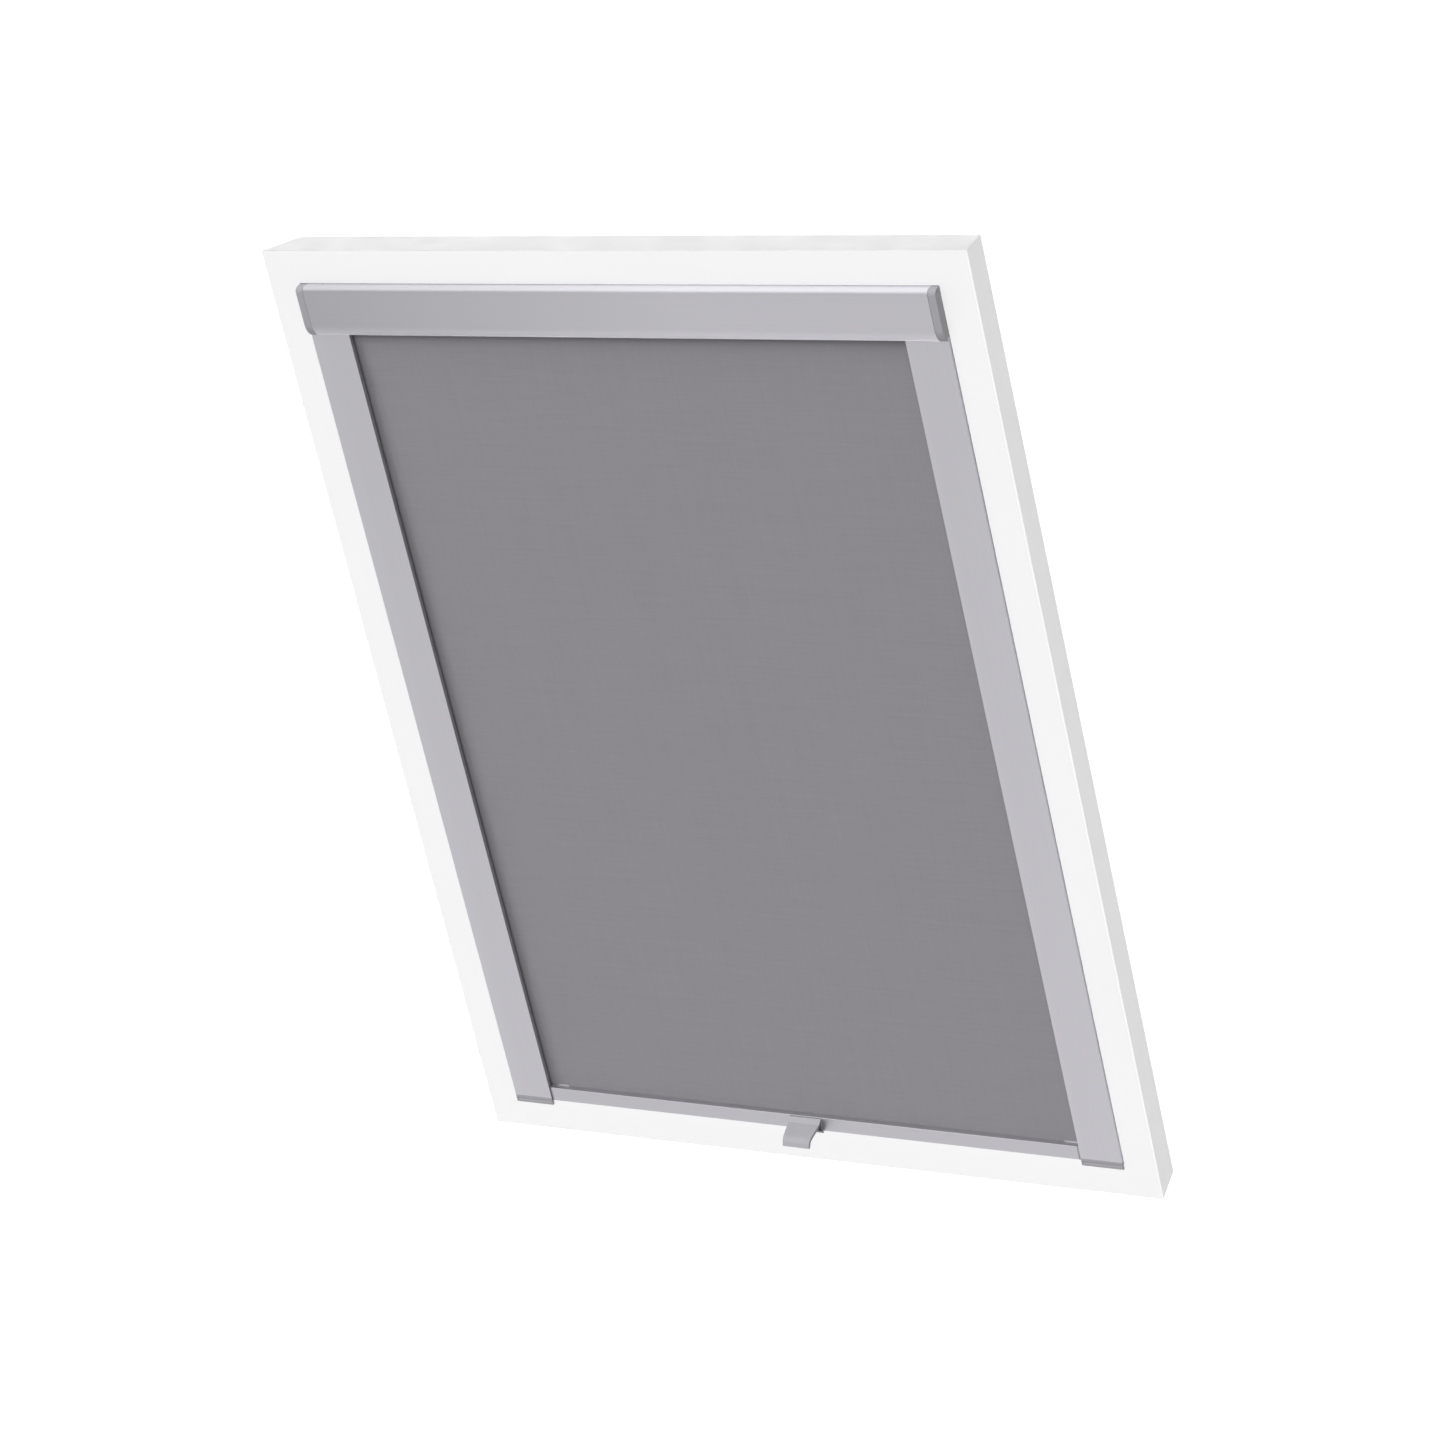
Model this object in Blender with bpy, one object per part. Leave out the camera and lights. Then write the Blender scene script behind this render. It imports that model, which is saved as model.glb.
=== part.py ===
# Skylight roller blind, recess mounted in its white window frame.
# Metres. X runs to the right, Y runs back through the window and Z is up.
# The origin is the middle of the frame's bottom face, and the room is at -Y.

import math

import bmesh
import bpy
from mathutils import Matrix

mm = 0.001

# Window frame
frame_width = 780 * mm
frame_height = 978 * mm
frame_depth = 48 * mm
frame_side_lean = 12.8 * mm
frame_top_lean = 5.4 * mm
stile_width = 35.5 * mm
top_rail_height = 34 * mm
bottom_rail_height = 35 * mm
tenon_end_wall = 3 * mm
tenon_shoulder = 8 * mm

# Clearances
seat_gap = 0.3 * mm
slide_gap = 0.5 * mm

# How far joined shapes and cutters reach into or past each other, how near two
# places count as one, and the smallest radius that is drawn
bite = 1 * mm
tolerance = 0.01 * mm
smallest_radius = 0.2 * mm

# Side rails, a C channel that opens towards the middle of the window
rail_width = 45.1 * mm
rail_depth = 17 * mm
rail_wall = 1.6 * mm
rail_lip = 5.0 * mm
rail_lip_wall = 1.4 * mm
rail_edge_radius = 0.8 * mm
rail_proud = 3 * mm
rail_into_cassette = 3.5 * mm
rail_screw_count = 3
rail_screw_inset = 50 * mm

# Brush strips inside the rails
brush_base_width = 6.0 * mm
brush_base_height = 1.0 * mm
brush_pile_width = 3.5 * mm
brush_inset = 2.0 * mm

# Rail feet
foot_plate = 2.7 * mm
foot_lip_drop = 5.0 * mm
foot_plug_height = 5.0 * mm
foot_plug_margin = 1.6 * mm

# Cassette
cassette_height = 54.5 * mm
cassette_proud = 9 * mm
cover_wall = 1.4 * mm
cover_top_radius = 5.2 * mm
cover_bottom_radius = 15 * mm
cover_hem_height = 5.5 * mm
cover_hook_drop = 4.3 * mm
back_wall = 1.4 * mm
back_flange_gap = 0.2 * mm
back_flange_lip = 5 * mm
roll_back_gap = 3.55 * mm
seal_lift = 1 * mm
seal_height = 3.5 * mm
seal_cloth_gap = 1.45 * mm

# End caps of the cassette
cap_thickness = 8 * mm
cap_edge_radius = 2.2 * mm
cap_rim_wall = 2.0 * mm
cap_rim_reach = 5 * mm
cap_rim_hook_gap = 2 * mm
cap_rib_length = 8 * mm
cap_rib_wall = 2.3 * mm
cap_rib_hook_gap = 1 * mm
cap_boss_radius = 8 * mm
cap_boss_reach = 3.2 * mm
cap_prong_drop = 12 * mm
cap_prong_width = 6 * mm
cap_prong_wall = 2.6 * mm
bearing_depth = 4 * mm

# Roller
tube_radius = 10.5 * mm
tube_wall = 1.0 * mm
roll_layer = 1.2 * mm
roll_lip_gap = 4.2 * mm
plug_flange = 2.0 * mm
plug_length = 19 * mm
plug_end_play = 0.6 * mm
arbor_radius = 3.0 * mm
arbor_reach = 160 * mm
arbor_neck_depth = 0.4 * mm
arbor_neck_length = 0.6 * mm
collar_play = 1.9 * mm
collar_length = 6 * mm
bush_length = 8 * mm
idler_pin_grip = 15 * mm
spring_radius = 5.6 * mm
spring_wire_radius = 0.7 * mm
spring_turns = 14

# Fabric
fabric_thickness = 0.5 * mm
fabric_tail = 4.5 * mm

# Bottom bar
bar_height = 15 * mm
bar_depth = 14 * mm
bar_wall = 1.2 * mm
bar_edge_radius = 1.5 * mm
hem_rod_radius = 2.2 * mm

# Sliding guides at the bar's ends, with their brakes
guide_plug_length = 17 * mm
guide_flange = 1.4 * mm
tongue_thickness = 3 * mm
shoe_length = 21.8 * mm
shoe_height = 24 * mm
shoe_stop_gap = 1 * mm
pad_height = 9 * mm
pad_head_gap = 2 * mm
pad_stem_radius = 3.0 * mm
pad_stem_length = 6.5 * mm
pocket_depth = 10.7 * mm
brake_spring_play = 0.55 * mm
brake_wire_radius = 0.35 * mm
brake_spring_turns = 4

# Pull handle
handle_root_width = 37 * mm
handle_tip_width = 30.4 * mm
handle_wall = 1.4 * mm
handle_edge_step = 0.8 * mm
handle_foot_drop = 2.5 * mm
crease_reach = 5.5 * mm
crease_drop = 4.4 * mm
blade_thickness = 2.6 * mm
blade_radius = 10 * mm
blade_slope = math.radians(21)
blade_end_slope = math.radians(65)
blade_tip_length = 3.8 * mm
blade_reach = 20.5 * mm
web_reach = 10.5 * mm
peg_radius = 1.4 * mm
peg_rod_gap = 0.8 * mm
peg_spacing = 20 * mm

# Screws
screw_radius = 1.6 * mm
screw_length = 14 * mm
screw_tip = 3 * mm
screw_head_radius = 3.1 * mm
screw_head_sink = 0.1 * mm
cap_screw_length = 24 * mm
cap_screw_head_height = 2.2 * mm
cap_screw_margin = 1.6 * mm
cap_screw_rib_gap = 1.85 * mm
drive_recess_radius = 1.5 * mm
drive_recess_depth = 0.9 * mm

# Levels and planes that follow from the sizes above
frame_front = -frame_depth / 2
opening_half = frame_width / 2 - stile_width
opening_top = frame_height - top_rail_height
opening_bottom = bottom_rail_height
tenon_length = stile_width - frame_side_lean - tenon_end_wall - seat_gap

rail_outer = opening_half - seat_gap
rail_inner = rail_outer - rail_width
rail_front = frame_front - rail_proud
rail_back = rail_front + rail_depth
fabric_plane = (rail_front + rail_back) / 2
channel_front = rail_front + rail_wall
channel_back = rail_back - rail_wall
channel_outer = rail_outer - rail_wall
channel_half = (channel_back - channel_front) / 2
brush_far = rail_inner + brush_inset + brush_base_width
pile_gap = tongue_thickness / 2 + slide_gap

cassette_top = opening_top - seat_gap
cassette_bottom = cassette_top - cassette_height
cassette_front = frame_front - cassette_proud
cap_outer = rail_outer
cap_inner = cap_outer - cap_thickness
cover_half = cap_inner - seat_gap
hem_back = rail_front - seat_gap
arc_centre = (cassette_front + cover_bottom_radius, cassette_bottom + cover_bottom_radius)
hem_angle = math.acos((arc_centre[0] - hem_back) / cover_bottom_radius)
hem_bottom = arc_centre[1] - cover_bottom_radius * math.sin(hem_angle)

rail_top = hem_bottom + rail_into_cassette
foot_bottom = opening_bottom + seat_gap
rail_bottom = foot_bottom + foot_plate + seat_gap
rail_screw_step = (rail_top - rail_bottom - 2 * rail_screw_inset) / (rail_screw_count - 1)
rail_screw_heights = [rail_bottom + rail_screw_inset + rail_screw_step * index
                      for index in range(rail_screw_count)]
cap_bottom = rail_top + seat_gap

roll_radius = tube_radius + seat_gap + roll_layer
roll_front = fabric_plane + fabric_thickness / 2 + seat_gap
roller_y = roll_front + roll_radius
back_plate_front = roller_y + roll_radius + roll_back_gap
cassette_back = back_plate_front + back_wall
back_flange_bottom = cap_bottom + 2 * seat_gap
back_flange_top = back_flange_bottom + back_wall
roller_z = back_flange_bottom + back_flange_lip + roll_lip_gap + roll_radius
rib_back = back_plate_front - seat_gap
rib_front = rib_back - cap_rib_wall
rim_gap = cover_wall + seat_gap
bore_radius = arbor_radius + seat_gap
plug_radius = tube_radius - tube_wall - seat_gap
boss_face = cap_inner - cap_boss_reach
plug_outer = boss_face - plug_end_play
plug_shoulder = plug_outer - plug_flange
plug_inner = plug_shoulder - plug_length
tube_half = plug_shoulder - seat_gap
bearing_end = cap_inner + bearing_depth
collar_start = -bearing_end + arbor_reach - collar_length
collar_radius = tube_radius - tube_wall - collar_play

bar_half = rail_inner - slide_gap - guide_flange - seat_gap
bar_bottom = opening_bottom + slide_gap
bar_centre = bar_bottom + bar_height / 2
bar_slot = fabric_thickness + 2 * slide_gap
fabric_half = brush_far + seat_gap
hem_half = bar_half - guide_plug_length - 2 * seat_gap
fabric_bottom = bar_bottom + bar_height - fabric_tail
shoe_start = fabric_half + 2 * seat_gap
shoe_end = shoe_start + shoe_length
foot_plug_top = foot_bottom + foot_plate + foot_plug_height
foot_plug_outer = channel_outer - seat_gap
foot_plug_inner = brush_far + foot_plug_margin
shoe_bottom = foot_plug_top + shoe_stop_gap
shoe_centre = shoe_bottom + shoe_height / 2
pad_end = channel_outer - seat_gap
pad_half = channel_half - seat_gap - cap_prong_wall - slide_gap
brake_spring_radius = pad_stem_radius + seat_gap - brake_wire_radius - brake_spring_play

sides = (("left", -1), ("right", 1))

# Colour (sRGB), roughness and metallic value of each finish
finishes = {
    "white_lacquer": ((0.955, 0.955, 0.955), 0.45, 0.0),
    "silver_anodised": ((0.72, 0.72, 0.735), 0.38, 0.85),
    "grey_plastic": ((0.61, 0.605, 0.63), 0.5, 0.0),
    "dark_brush": ((0.50, 0.50, 0.51), 0.9, 0.0),
    "grey_fabric": ((0.54, 0.533, 0.553), 0.85, 0.0),
    "zinc_steel": ((0.66, 0.66, 0.67), 0.35, 1.0),
    "spring_steel": ((0.42, 0.42, 0.44), 0.35, 1.0),
    "natural_nylon": ((0.82, 0.81, 0.78), 0.45, 0.0),
    "grey_felt": ((0.40, 0.40, 0.41), 0.95, 0.0),
}


def clear_scene():
    for old in list(bpy.data.objects):
        bpy.data.objects.remove(old, do_unlink=True)


def linear(value):
    return value / 12.92 if value <= 0.04045 else ((value + 0.055) / 1.055) ** 2.4


def make_material(name, finish):
    colour, roughness, metallic = finishes[finish]
    material = bpy.data.materials.new(f"{name}_{finish}")
    material.use_nodes = True
    shader = material.node_tree.nodes["Principled BSDF"]
    shader.inputs["Base Color"].default_value = (*[linear(part) for part in colour], 1.0)
    shader.inputs["Roughness"].default_value = roughness
    shader.inputs["Metallic"].default_value = metallic
    return material


def add_object(name, data, finish=None, parent=None):
    thing = bpy.data.objects.new(name, data)
    bpy.context.scene.collection.objects.link(thing)
    if finish:
        data.materials.append(make_material(name, finish))
    if parent:
        thing.parent = parent
    return thing


def add_mesh(name, bm, finish=None, parent=None, smooth=False):
    bmesh.ops.remove_doubles(bm, verts=bm.verts, dist=tolerance / 10)
    bmesh.ops.recalc_face_normals(bm, faces=bm.faces)
    mesh = bpy.data.meshes.new(name)
    bm.to_mesh(mesh)
    bm.free()
    if smooth:
        mesh.shade_smooth()
        mesh.set_sharp_from_angle(angle=math.radians(35))
    return add_object(name, mesh, finish, parent)


def add_empty(name, location):
    empty = bpy.data.objects.new(name, None)
    empty.location = location
    bpy.context.scene.collection.objects.link(empty)
    return empty


def box(low, high):
    bm = bmesh.new()
    bmesh.ops.create_cube(bm, size=1.0)
    size = [b - a for a, b in zip(low, high)]
    middle = [(a + b) / 2 for a, b in zip(low, high)]
    bmesh.ops.scale(bm, vec=size, verts=bm.verts)
    bmesh.ops.translate(bm, vec=middle, verts=bm.verts)
    return bm


def side_box(side, x_range, y_range, z_range):
    ends = sorted((side * x_range[0], side * x_range[1]))
    return box((ends[0], y_range[0], z_range[0]), (ends[1], y_range[1], z_range[1]))


def extruded(outline, start, end, axis):
    # The outline holds (y, z) pairs for axis X, (x, z) for Y and (x, y) for Z.
    bm = bmesh.new()
    corners = []
    for a, b in outline:
        place = {"X": (start, a, b), "Y": (a, start, b), "Z": (a, b, start)}[axis]
        corners.append(bm.verts.new(place))
    face = bm.faces.new(corners)
    grown = bmesh.ops.extrude_face_region(bm, geom=[face])["geom"]
    moved = [part for part in grown if isinstance(part, bmesh.types.BMVert)]
    step = {"X": (end - start, 0, 0), "Y": (0, end - start, 0), "Z": (0, 0, end - start)}[axis]
    bmesh.ops.translate(bm, vec=step, verts=moved)
    return bm


def turned(outline, closed, steps=24, y=0.0, z=0.0):
    # The outline holds (x, radius) pairs, turned about a line along X through y, z.
    bm = bmesh.new()
    points = [bm.verts.new((x, y, z + radius)) for x, radius in outline]
    edges = [bm.edges.new(pair) for pair in zip(points, points[1:])]
    if closed:
        edges.append(bm.edges.new((points[-1], points[0])))
    bmesh.ops.spin(bm, geom=points + edges, cent=(0, y, z), axis=(1, 0, 0),
                   angle=2 * math.pi, steps=steps, use_merge=True)
    return bm


def ring(start, end, outer, inner, steps=24):
    outline = [(start, inner), (start, outer), (end, outer), (end, inner)]
    return turned(outline, closed=True, steps=steps)


def rod(start, end, radius, steps=24, y=0.0, z=0.0):
    outline = [(start, 0), (start, radius), (end, radius), (end, 0)]
    return turned(outline, closed=False, steps=steps, y=y, z=z)


def arc(centre, radius, start, end, steps):
    angles = [start + (end - start) * step / steps for step in range(steps + 1)]
    return [(centre[0] + radius * math.cos(a), centre[1] + radius * math.sin(a)) for a in angles]


def add_tool(name, bm, parent=None):
    tool = add_mesh(name, bm, parent=parent)
    tool.hide_render = True
    tool.display_type = "WIRE"
    return tool


def combine(target, operation, name, bm, parent=None):
    modifier = target.modifiers.new(name, "BOOLEAN")
    modifier.operation = operation
    modifier.solver = "EXACT"
    modifier.object = add_tool(name, bm, parent)


def gathered(shapes):
    # Shapes that don't touch each other, in one mesh for one union or one cut.
    whole = bmesh.new()
    for shape in shapes:
        mesh = bpy.data.meshes.new("shape")
        shape.to_mesh(mesh)
        shape.free()
        whole.from_mesh(mesh)
        bpy.data.meshes.remove(mesh)
    return whole


def helix_curve(name, radius, wire_radius, turns, start, end, finish, parent=None):
    steps_per_turn = 12
    curve = bpy.data.curves.new(name, "CURVE")
    curve.dimensions = "3D"
    curve.bevel_depth = wire_radius
    curve.bevel_resolution = 1
    curve.use_fill_caps = True
    count = turns * steps_per_turn + 1
    spline = curve.splines.new("POLY")
    spline.points.add(count - 1)
    for index, point in enumerate(spline.points):
        share = index / (count - 1)
        angle = 2 * math.pi * turns * share
        x = start + (end - start) * share
        point.co = (x, radius * math.cos(angle), radius * math.sin(angle), 1)
    return add_object(name, curve, finish, parent)


def lean_back(bm):
    # The frame's sides and top lean inwards on their way from the front to the back.
    for vert in bm.verts:
        if vert.co.y > frame_depth / 2 - tolerance:
            if abs(vert.co.x) > frame_width / 2 - tolerance:
                vert.co.x -= math.copysign(frame_side_lean, vert.co.x)
            if vert.co.z > frame_height - tolerance:
                vert.co.z -= frame_top_lean
    return bm


def frame_stile(side_name, side):
    body = side_box(side, (opening_half, frame_width / 2), (-frame_depth / 2, frame_depth / 2),
                    (0, frame_height))
    stile = add_mesh(f"frame_{side_name}_stile", lean_back(body), "white_lacquer")
    margin = tenon_shoulder - seat_gap
    mortises = [
        side_box(
            side,
            (opening_half - bite, opening_half + tenon_length + seat_gap),
            (-frame_depth / 2 + margin, frame_depth / 2 - margin),
            (low + margin, high - margin),
        )
        for low, high in ((0, bottom_rail_height), (opening_top, frame_height))
    ]
    combine(stile, "DIFFERENCE", f"mortises_{side_name}", gathered(mortises))
    hole_radius = screw_radius + seat_gap
    rail_depth_in = rail_outer + screw_length + seat_gap
    cap_depth_in = cap_inner + cap_screw_length + seat_gap
    holes = [rod(rail_outer, rail_depth_in, hole_radius, steps=12, y=fabric_plane, z=height)
             for height in rail_screw_heights]
    holes += [rod(rail_outer, cap_depth_in, hole_radius, steps=12, y=y, z=z)
              for y, z in cap_screw_places()]
    for hole in holes:
        turn_to_side(hole, side)
    combine(stile, "DIFFERENCE", f"pilot_holes_{side_name}", gathered(holes))


def turn_to_side(bm, side):
    if side < 0:
        bmesh.ops.scale(bm, vec=(-1, 1, 1), verts=bm.verts)
        bmesh.ops.reverse_faces(bm, faces=bm.faces)


def frame_cross_rail(name, low, high):
    half = opening_half - seat_gap
    bm = box((-half, -frame_depth / 2, low), (half, frame_depth / 2, high))
    for direction in (-1, 1):
        end = [face for face in bm.faces
               if face.calc_center_median().x * direction > half - tolerance]
        bmesh.ops.inset_region(bm, faces=end, thickness=tenon_shoulder, use_even_offset=True)
        tenon = bmesh.ops.extrude_face_region(bm, geom=end)["geom"]
        bmesh.ops.delete(bm, geom=end, context="FACES_ONLY")
        moved = [part for part in tenon if isinstance(part, bmesh.types.BMVert)]
        bmesh.ops.translate(bm, vec=(direction * tenon_length, 0, 0), verts=moved)
    add_mesh(name, lean_back(bm), "white_lacquer")


def rail_outline(side):
    # Distances from the outer face of the rail, and y.
    r = rail_edge_radius
    w = rail_wall
    lip = rail_width - rail_lip_wall
    points = arc((r, rail_front + r), r, math.pi, 1.5 * math.pi, 2)
    points += arc((rail_width - r, rail_front + r), r, 1.5 * math.pi, 2 * math.pi, 3)
    points += [(rail_width, rail_front + rail_lip), (lip, rail_front + rail_lip)]
    points += [(lip, channel_front), (w, channel_front), (w, channel_back), (lip, channel_back)]
    points += [(lip, rail_back - rail_lip), (rail_width, rail_back - rail_lip)]
    points += [(rail_width, rail_back), (0, rail_back)]
    return [(side * (rail_outer - u), y) for u, y in points]


def countersunk_outline(clearance):
    # Head flush with the channel's inner face, shank running out into the stile.
    head = screw_head_radius + clearance
    shank = screw_radius + clearance
    start = channel_outer + screw_head_sink - (bite if clearance else 0)
    end = rail_outer + (bite if clearance else screw_length)
    points = [(start, 0), (start, head)]
    if clearance:
        points.append((channel_outer, head))
    points.append((rail_outer, shank))
    if not clearance:
        points.append((end - screw_tip, shank))
        points.append((end, 0))
    else:
        points += [(end, shank), (end, 0)]
    return points


def side_rail(side_name, side):
    rail = add_mesh(f"side_rail_{side_name}", extruded(rail_outline(side), rail_bottom, rail_top, "Z"),
                    "silver_anodised", smooth=True)
    holes = [turned(countersunk_outline(seat_gap), closed=False, steps=16, y=fabric_plane, z=height)
             for height in rail_screw_heights]
    for hole in holes:
        turn_to_side(hole, side)
    combine(rail, "DIFFERENCE", f"rail_holes_{side_name}", gathered(holes))


def rail_screws(side_name, side):
    for index, height in enumerate(rail_screw_heights):
        bm = turned(countersunk_outline(0), closed=False, steps=16, y=fabric_plane, z=height)
        turn_to_side(bm, side)
        screw = add_mesh(f"rail_screw_{side_name}_{index + 1}", bm, "zinc_steel", smooth=True)
        start = channel_outer - bite
        recess = side_box(
            side, (start, channel_outer + drive_recess_depth),
            (fabric_plane - drive_recess_radius, fabric_plane + drive_recess_radius),
            (height - drive_recess_radius, height + drive_recess_radius),
        )
        combine(screw, "DIFFERENCE", f"rail_screw_recess_{side_name}_{index + 1}", recess)


def brush_outline(side, back):
    # A flat base on the flange and a narrower pile that points at the fabric.
    flange = channel_back if back else channel_front
    inward = -1 if back else 1
    base_near = rail_inner + brush_inset
    base_far = base_near + brush_base_width
    middle = (base_near + base_far) / 2
    pile = (middle - brush_pile_width / 2, middle + brush_pile_width / 2)
    root = flange + inward * seat_gap
    shoulder = root + inward * brush_base_height
    tip = fabric_plane - inward * pile_gap
    points = [(base_near, root), (base_far, root), (base_far, shoulder), (pile[1], shoulder)]
    points += [(pile[1], tip), (pile[0], tip), (pile[0], shoulder), (base_near, shoulder)]
    return [(side * x, y) for x, y in points]


def rail_brushes(side_name, side):
    for label, back in (("front", False), ("back", True)):
        bm = extruded(brush_outline(side, back), rail_bottom + seat_gap, rail_top - seat_gap, "Z")
        add_mesh(f"rail_brush_{label}_{side_name}", bm, "dark_brush")


def rail_foot(side_name, side):
    top = foot_bottom + foot_plate
    lip_back = frame_front - seat_gap
    outline = [(rail_front, opening_bottom - foot_lip_drop), (lip_back, opening_bottom - foot_lip_drop)]
    outline += [(lip_back, foot_bottom), (rail_back, foot_bottom), (rail_back, top), (rail_front, top)]
    ends = (side * rail_inner, side * rail_outer)
    foot = add_mesh(f"rail_foot_{side_name}", extruded(outline, ends[0], ends[1], "X"), "grey_plastic")
    plug = side_box(
        side, (foot_plug_inner, foot_plug_outer),
        (channel_front + seat_gap, channel_back - seat_gap), (top - bite, foot_plug_top),
    )
    combine(foot, "UNION", f"foot_plug_{side_name}", plug)


def cover_path(inset, low_angle):
    # The cover's section from the top wall, down the front and round by low_angle
    # towards the hem, drawn at a distance inside its outer face.
    radius = cover_top_radius - inset
    top_centre = (cassette_front + cover_top_radius, cassette_top - cover_top_radius)
    if radius > smallest_radius:
        points = arc(top_centre, radius, math.pi / 2, math.pi, 3)
    else:
        points = [(cassette_front + inset, cassette_top - inset)]
    low_radius = cover_bottom_radius - inset
    points += arc(arc_centre, low_radius, math.pi, math.pi + low_angle, 9)
    return points


def cassette_cover():
    hook_front = back_plate_front - seat_gap - cover_wall
    hook_back = hook_front + cover_wall
    hook_bottom = cassette_top - cover_wall - cover_hook_drop
    hem_front = hem_back - cover_wall
    outer = [(hook_back, cassette_top)] + cover_path(0, hem_angle)
    hem = [(hem_back, hem_bottom + cover_hem_height), (hem_front, hem_bottom + cover_hem_height)]
    inner_angle = math.acos((arc_centre[0] - hem_front) / (cover_bottom_radius - cover_wall))
    inner = cover_path(cover_wall, inner_angle)[::-1]
    hook = [(hook_front, cassette_top - cover_wall), (hook_front, hook_bottom), (hook_back, hook_bottom)]
    outline = outer + hem + inner + hook
    add_mesh("cassette_front_cover", extruded(outline, -cover_half, cover_half, "X"),
             "silver_anodised", smooth=True)


def cassette_back_plate():
    # Its flange closes the cassette underneath, as far as the back of the rails.
    top = cassette_top - rim_gap
    bottom = back_flange_bottom
    lip_front = rail_back + back_flange_gap
    lip_back = lip_front + back_wall
    outline = [(cassette_back, top), (back_plate_front, top), (back_plate_front, back_flange_top)]
    outline += [(lip_back, back_flange_top), (lip_back, bottom + back_flange_lip)]
    outline += [(lip_front, bottom + back_flange_lip), (lip_front, bottom), (cassette_back, bottom)]
    add_mesh("cassette_back_plate", extruded(outline, -cover_half, cover_half, "X"), "silver_anodised")


def cassette_seal():
    half = rail_inner - seat_gap
    back = fabric_plane - fabric_thickness / 2 - seal_cloth_gap
    low = (-half, hem_back + seat_gap, hem_bottom + seal_lift)
    high = (half, back, hem_bottom + seal_lift + seal_height)
    add_mesh("cassette_brush_seal", box(low, high), "dark_brush")


def cap_outline():
    points = [(cassette_back, cap_bottom), (cassette_back, cassette_top), (frame_front, cassette_top)]
    points += cover_path(0, hem_angle)
    points += [(hem_back, cap_bottom)]
    return points


def cap_body(side):
    bm = extruded(cap_outline(), side * cap_inner, side * cap_outer, "X")
    rounded = []
    for edge in bm.edges:
        ends = [vert.co for vert in edge.verts]
        outer = all(abs(abs(end.x) - cap_outer) < tolerance for end in ends)
        in_front = all(end.y <= frame_front + tolerance for end in ends)
        on_show = max(end.z for end in ends) > hem_bottom + tolerance
        hidden = all(abs(end.y - hem_back) < tolerance or end.z <= cap_bottom and end.y > hem_back
                     for end in ends)
        if outer and in_front and on_show and not hidden:
            rounded.append(edge)
    bmesh.ops.bevel(bm, geom=rounded, offset=cap_edge_radius, segments=3, profile=0.5,
                    affect="EDGES", material=-1, clamp_overlap=True)
    return bm


def cap_rim(side):
    # A rim that the cover slides over, from the top wall down to the top of the hem.
    drop = arc_centre[1] - (hem_bottom + cover_hem_height + seat_gap)
    paths = [cover_path(inset, math.asin(drop / (cover_bottom_radius - inset)))
             for inset in (rim_gap, rim_gap + cap_rim_wall)]
    reach = back_plate_front - 2 * seat_gap - cover_wall - cap_rim_hook_gap
    top = cassette_top - rim_gap
    outline = [(reach, top)] + paths[0] + paths[1][::-1] + [(reach, top - cap_rim_wall)]
    return extruded(outline, side * (cap_inner + bite), side * (cap_inner - cap_rim_reach), "X")


def cap_screw_places():
    # In front of the rib, one over the back flange and one under the rim.
    y = rib_front - cap_screw_rib_gap - screw_head_radius
    margin = cap_screw_margin + screw_head_radius
    return ((y, back_flange_top + margin), (y, cassette_top - rim_gap - cap_rim_wall - margin))


def end_cap(side_name, side):
    cap = add_mesh(f"cassette_end_cap_{side_name}", cap_body(side), "grey_plastic", smooth=True)
    boss = rod(boss_face, cap_inner + bite, cap_boss_radius, y=roller_y, z=roller_z)
    turn_to_side(boss, side)
    rib = side_box(
        side, (cap_inner - cap_rib_length, cap_inner + bite), (rib_front, rib_back),
        (back_flange_top + seat_gap, cassette_top - cover_wall - cover_hook_drop - cap_rib_hook_gap),
    )
    prong_outer = channel_outer - seat_gap
    fronts = (channel_front + seat_gap, channel_back - seat_gap - cap_prong_wall)
    prongs = [
        side_box(
            side, (prong_outer - cap_prong_width, prong_outer), (front, front + cap_prong_wall),
            (rail_top - cap_prong_drop, cap_bottom + bite),
        )
        for front in fronts
    ]
    combine(cap, "UNION", f"cap_fittings_{side_name}", gathered([cap_rim(side), boss, rib, *prongs]))
    if side < 0:
        half = bore_radius
        socket = side_box(side, (boss_face - bite, bearing_end + seat_gap),
                          (roller_y - half, roller_y + half), (roller_z - half, roller_z + half))
    else:
        socket = rod(boss_face - bite, bearing_end + seat_gap, bore_radius, y=roller_y, z=roller_z)
    holes = [rod(cap_inner - bite, cap_outer + bite, screw_radius + seat_gap, steps=12, y=y, z=z)
             for y, z in cap_screw_places()]
    for hole in holes:
        turn_to_side(hole, side)
    combine(cap, "DIFFERENCE", f"cap_holes_{side_name}", gathered([socket, *holes]))


def cap_screws(side_name, side):
    head_end = cap_inner - seat_gap
    head_start = head_end - cap_screw_head_height
    end = cap_inner + cap_screw_length
    outline = [(head_start, 0), (head_start, screw_head_radius), (head_end, screw_head_radius)]
    outline += [(head_end, screw_radius), (end - screw_tip, screw_radius), (end, 0)]
    for index, (y, z) in enumerate(cap_screw_places()):
        bm = turned(outline, closed=False, steps=16, y=y, z=z)
        turn_to_side(bm, side)
        screw = add_mesh(f"cap_screw_{side_name}_{index + 1}", bm, "zinc_steel", smooth=True)
        recess = side_box(
            side, (head_start - bite, head_start + drive_recess_depth),
            (y - drive_recess_radius, y + drive_recess_radius),
            (z - drive_recess_radius, z + drive_recess_radius),
        )
        combine(screw, "DIFFERENCE", f"cap_screw_recess_{side_name}_{index + 1}", recess)


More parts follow.
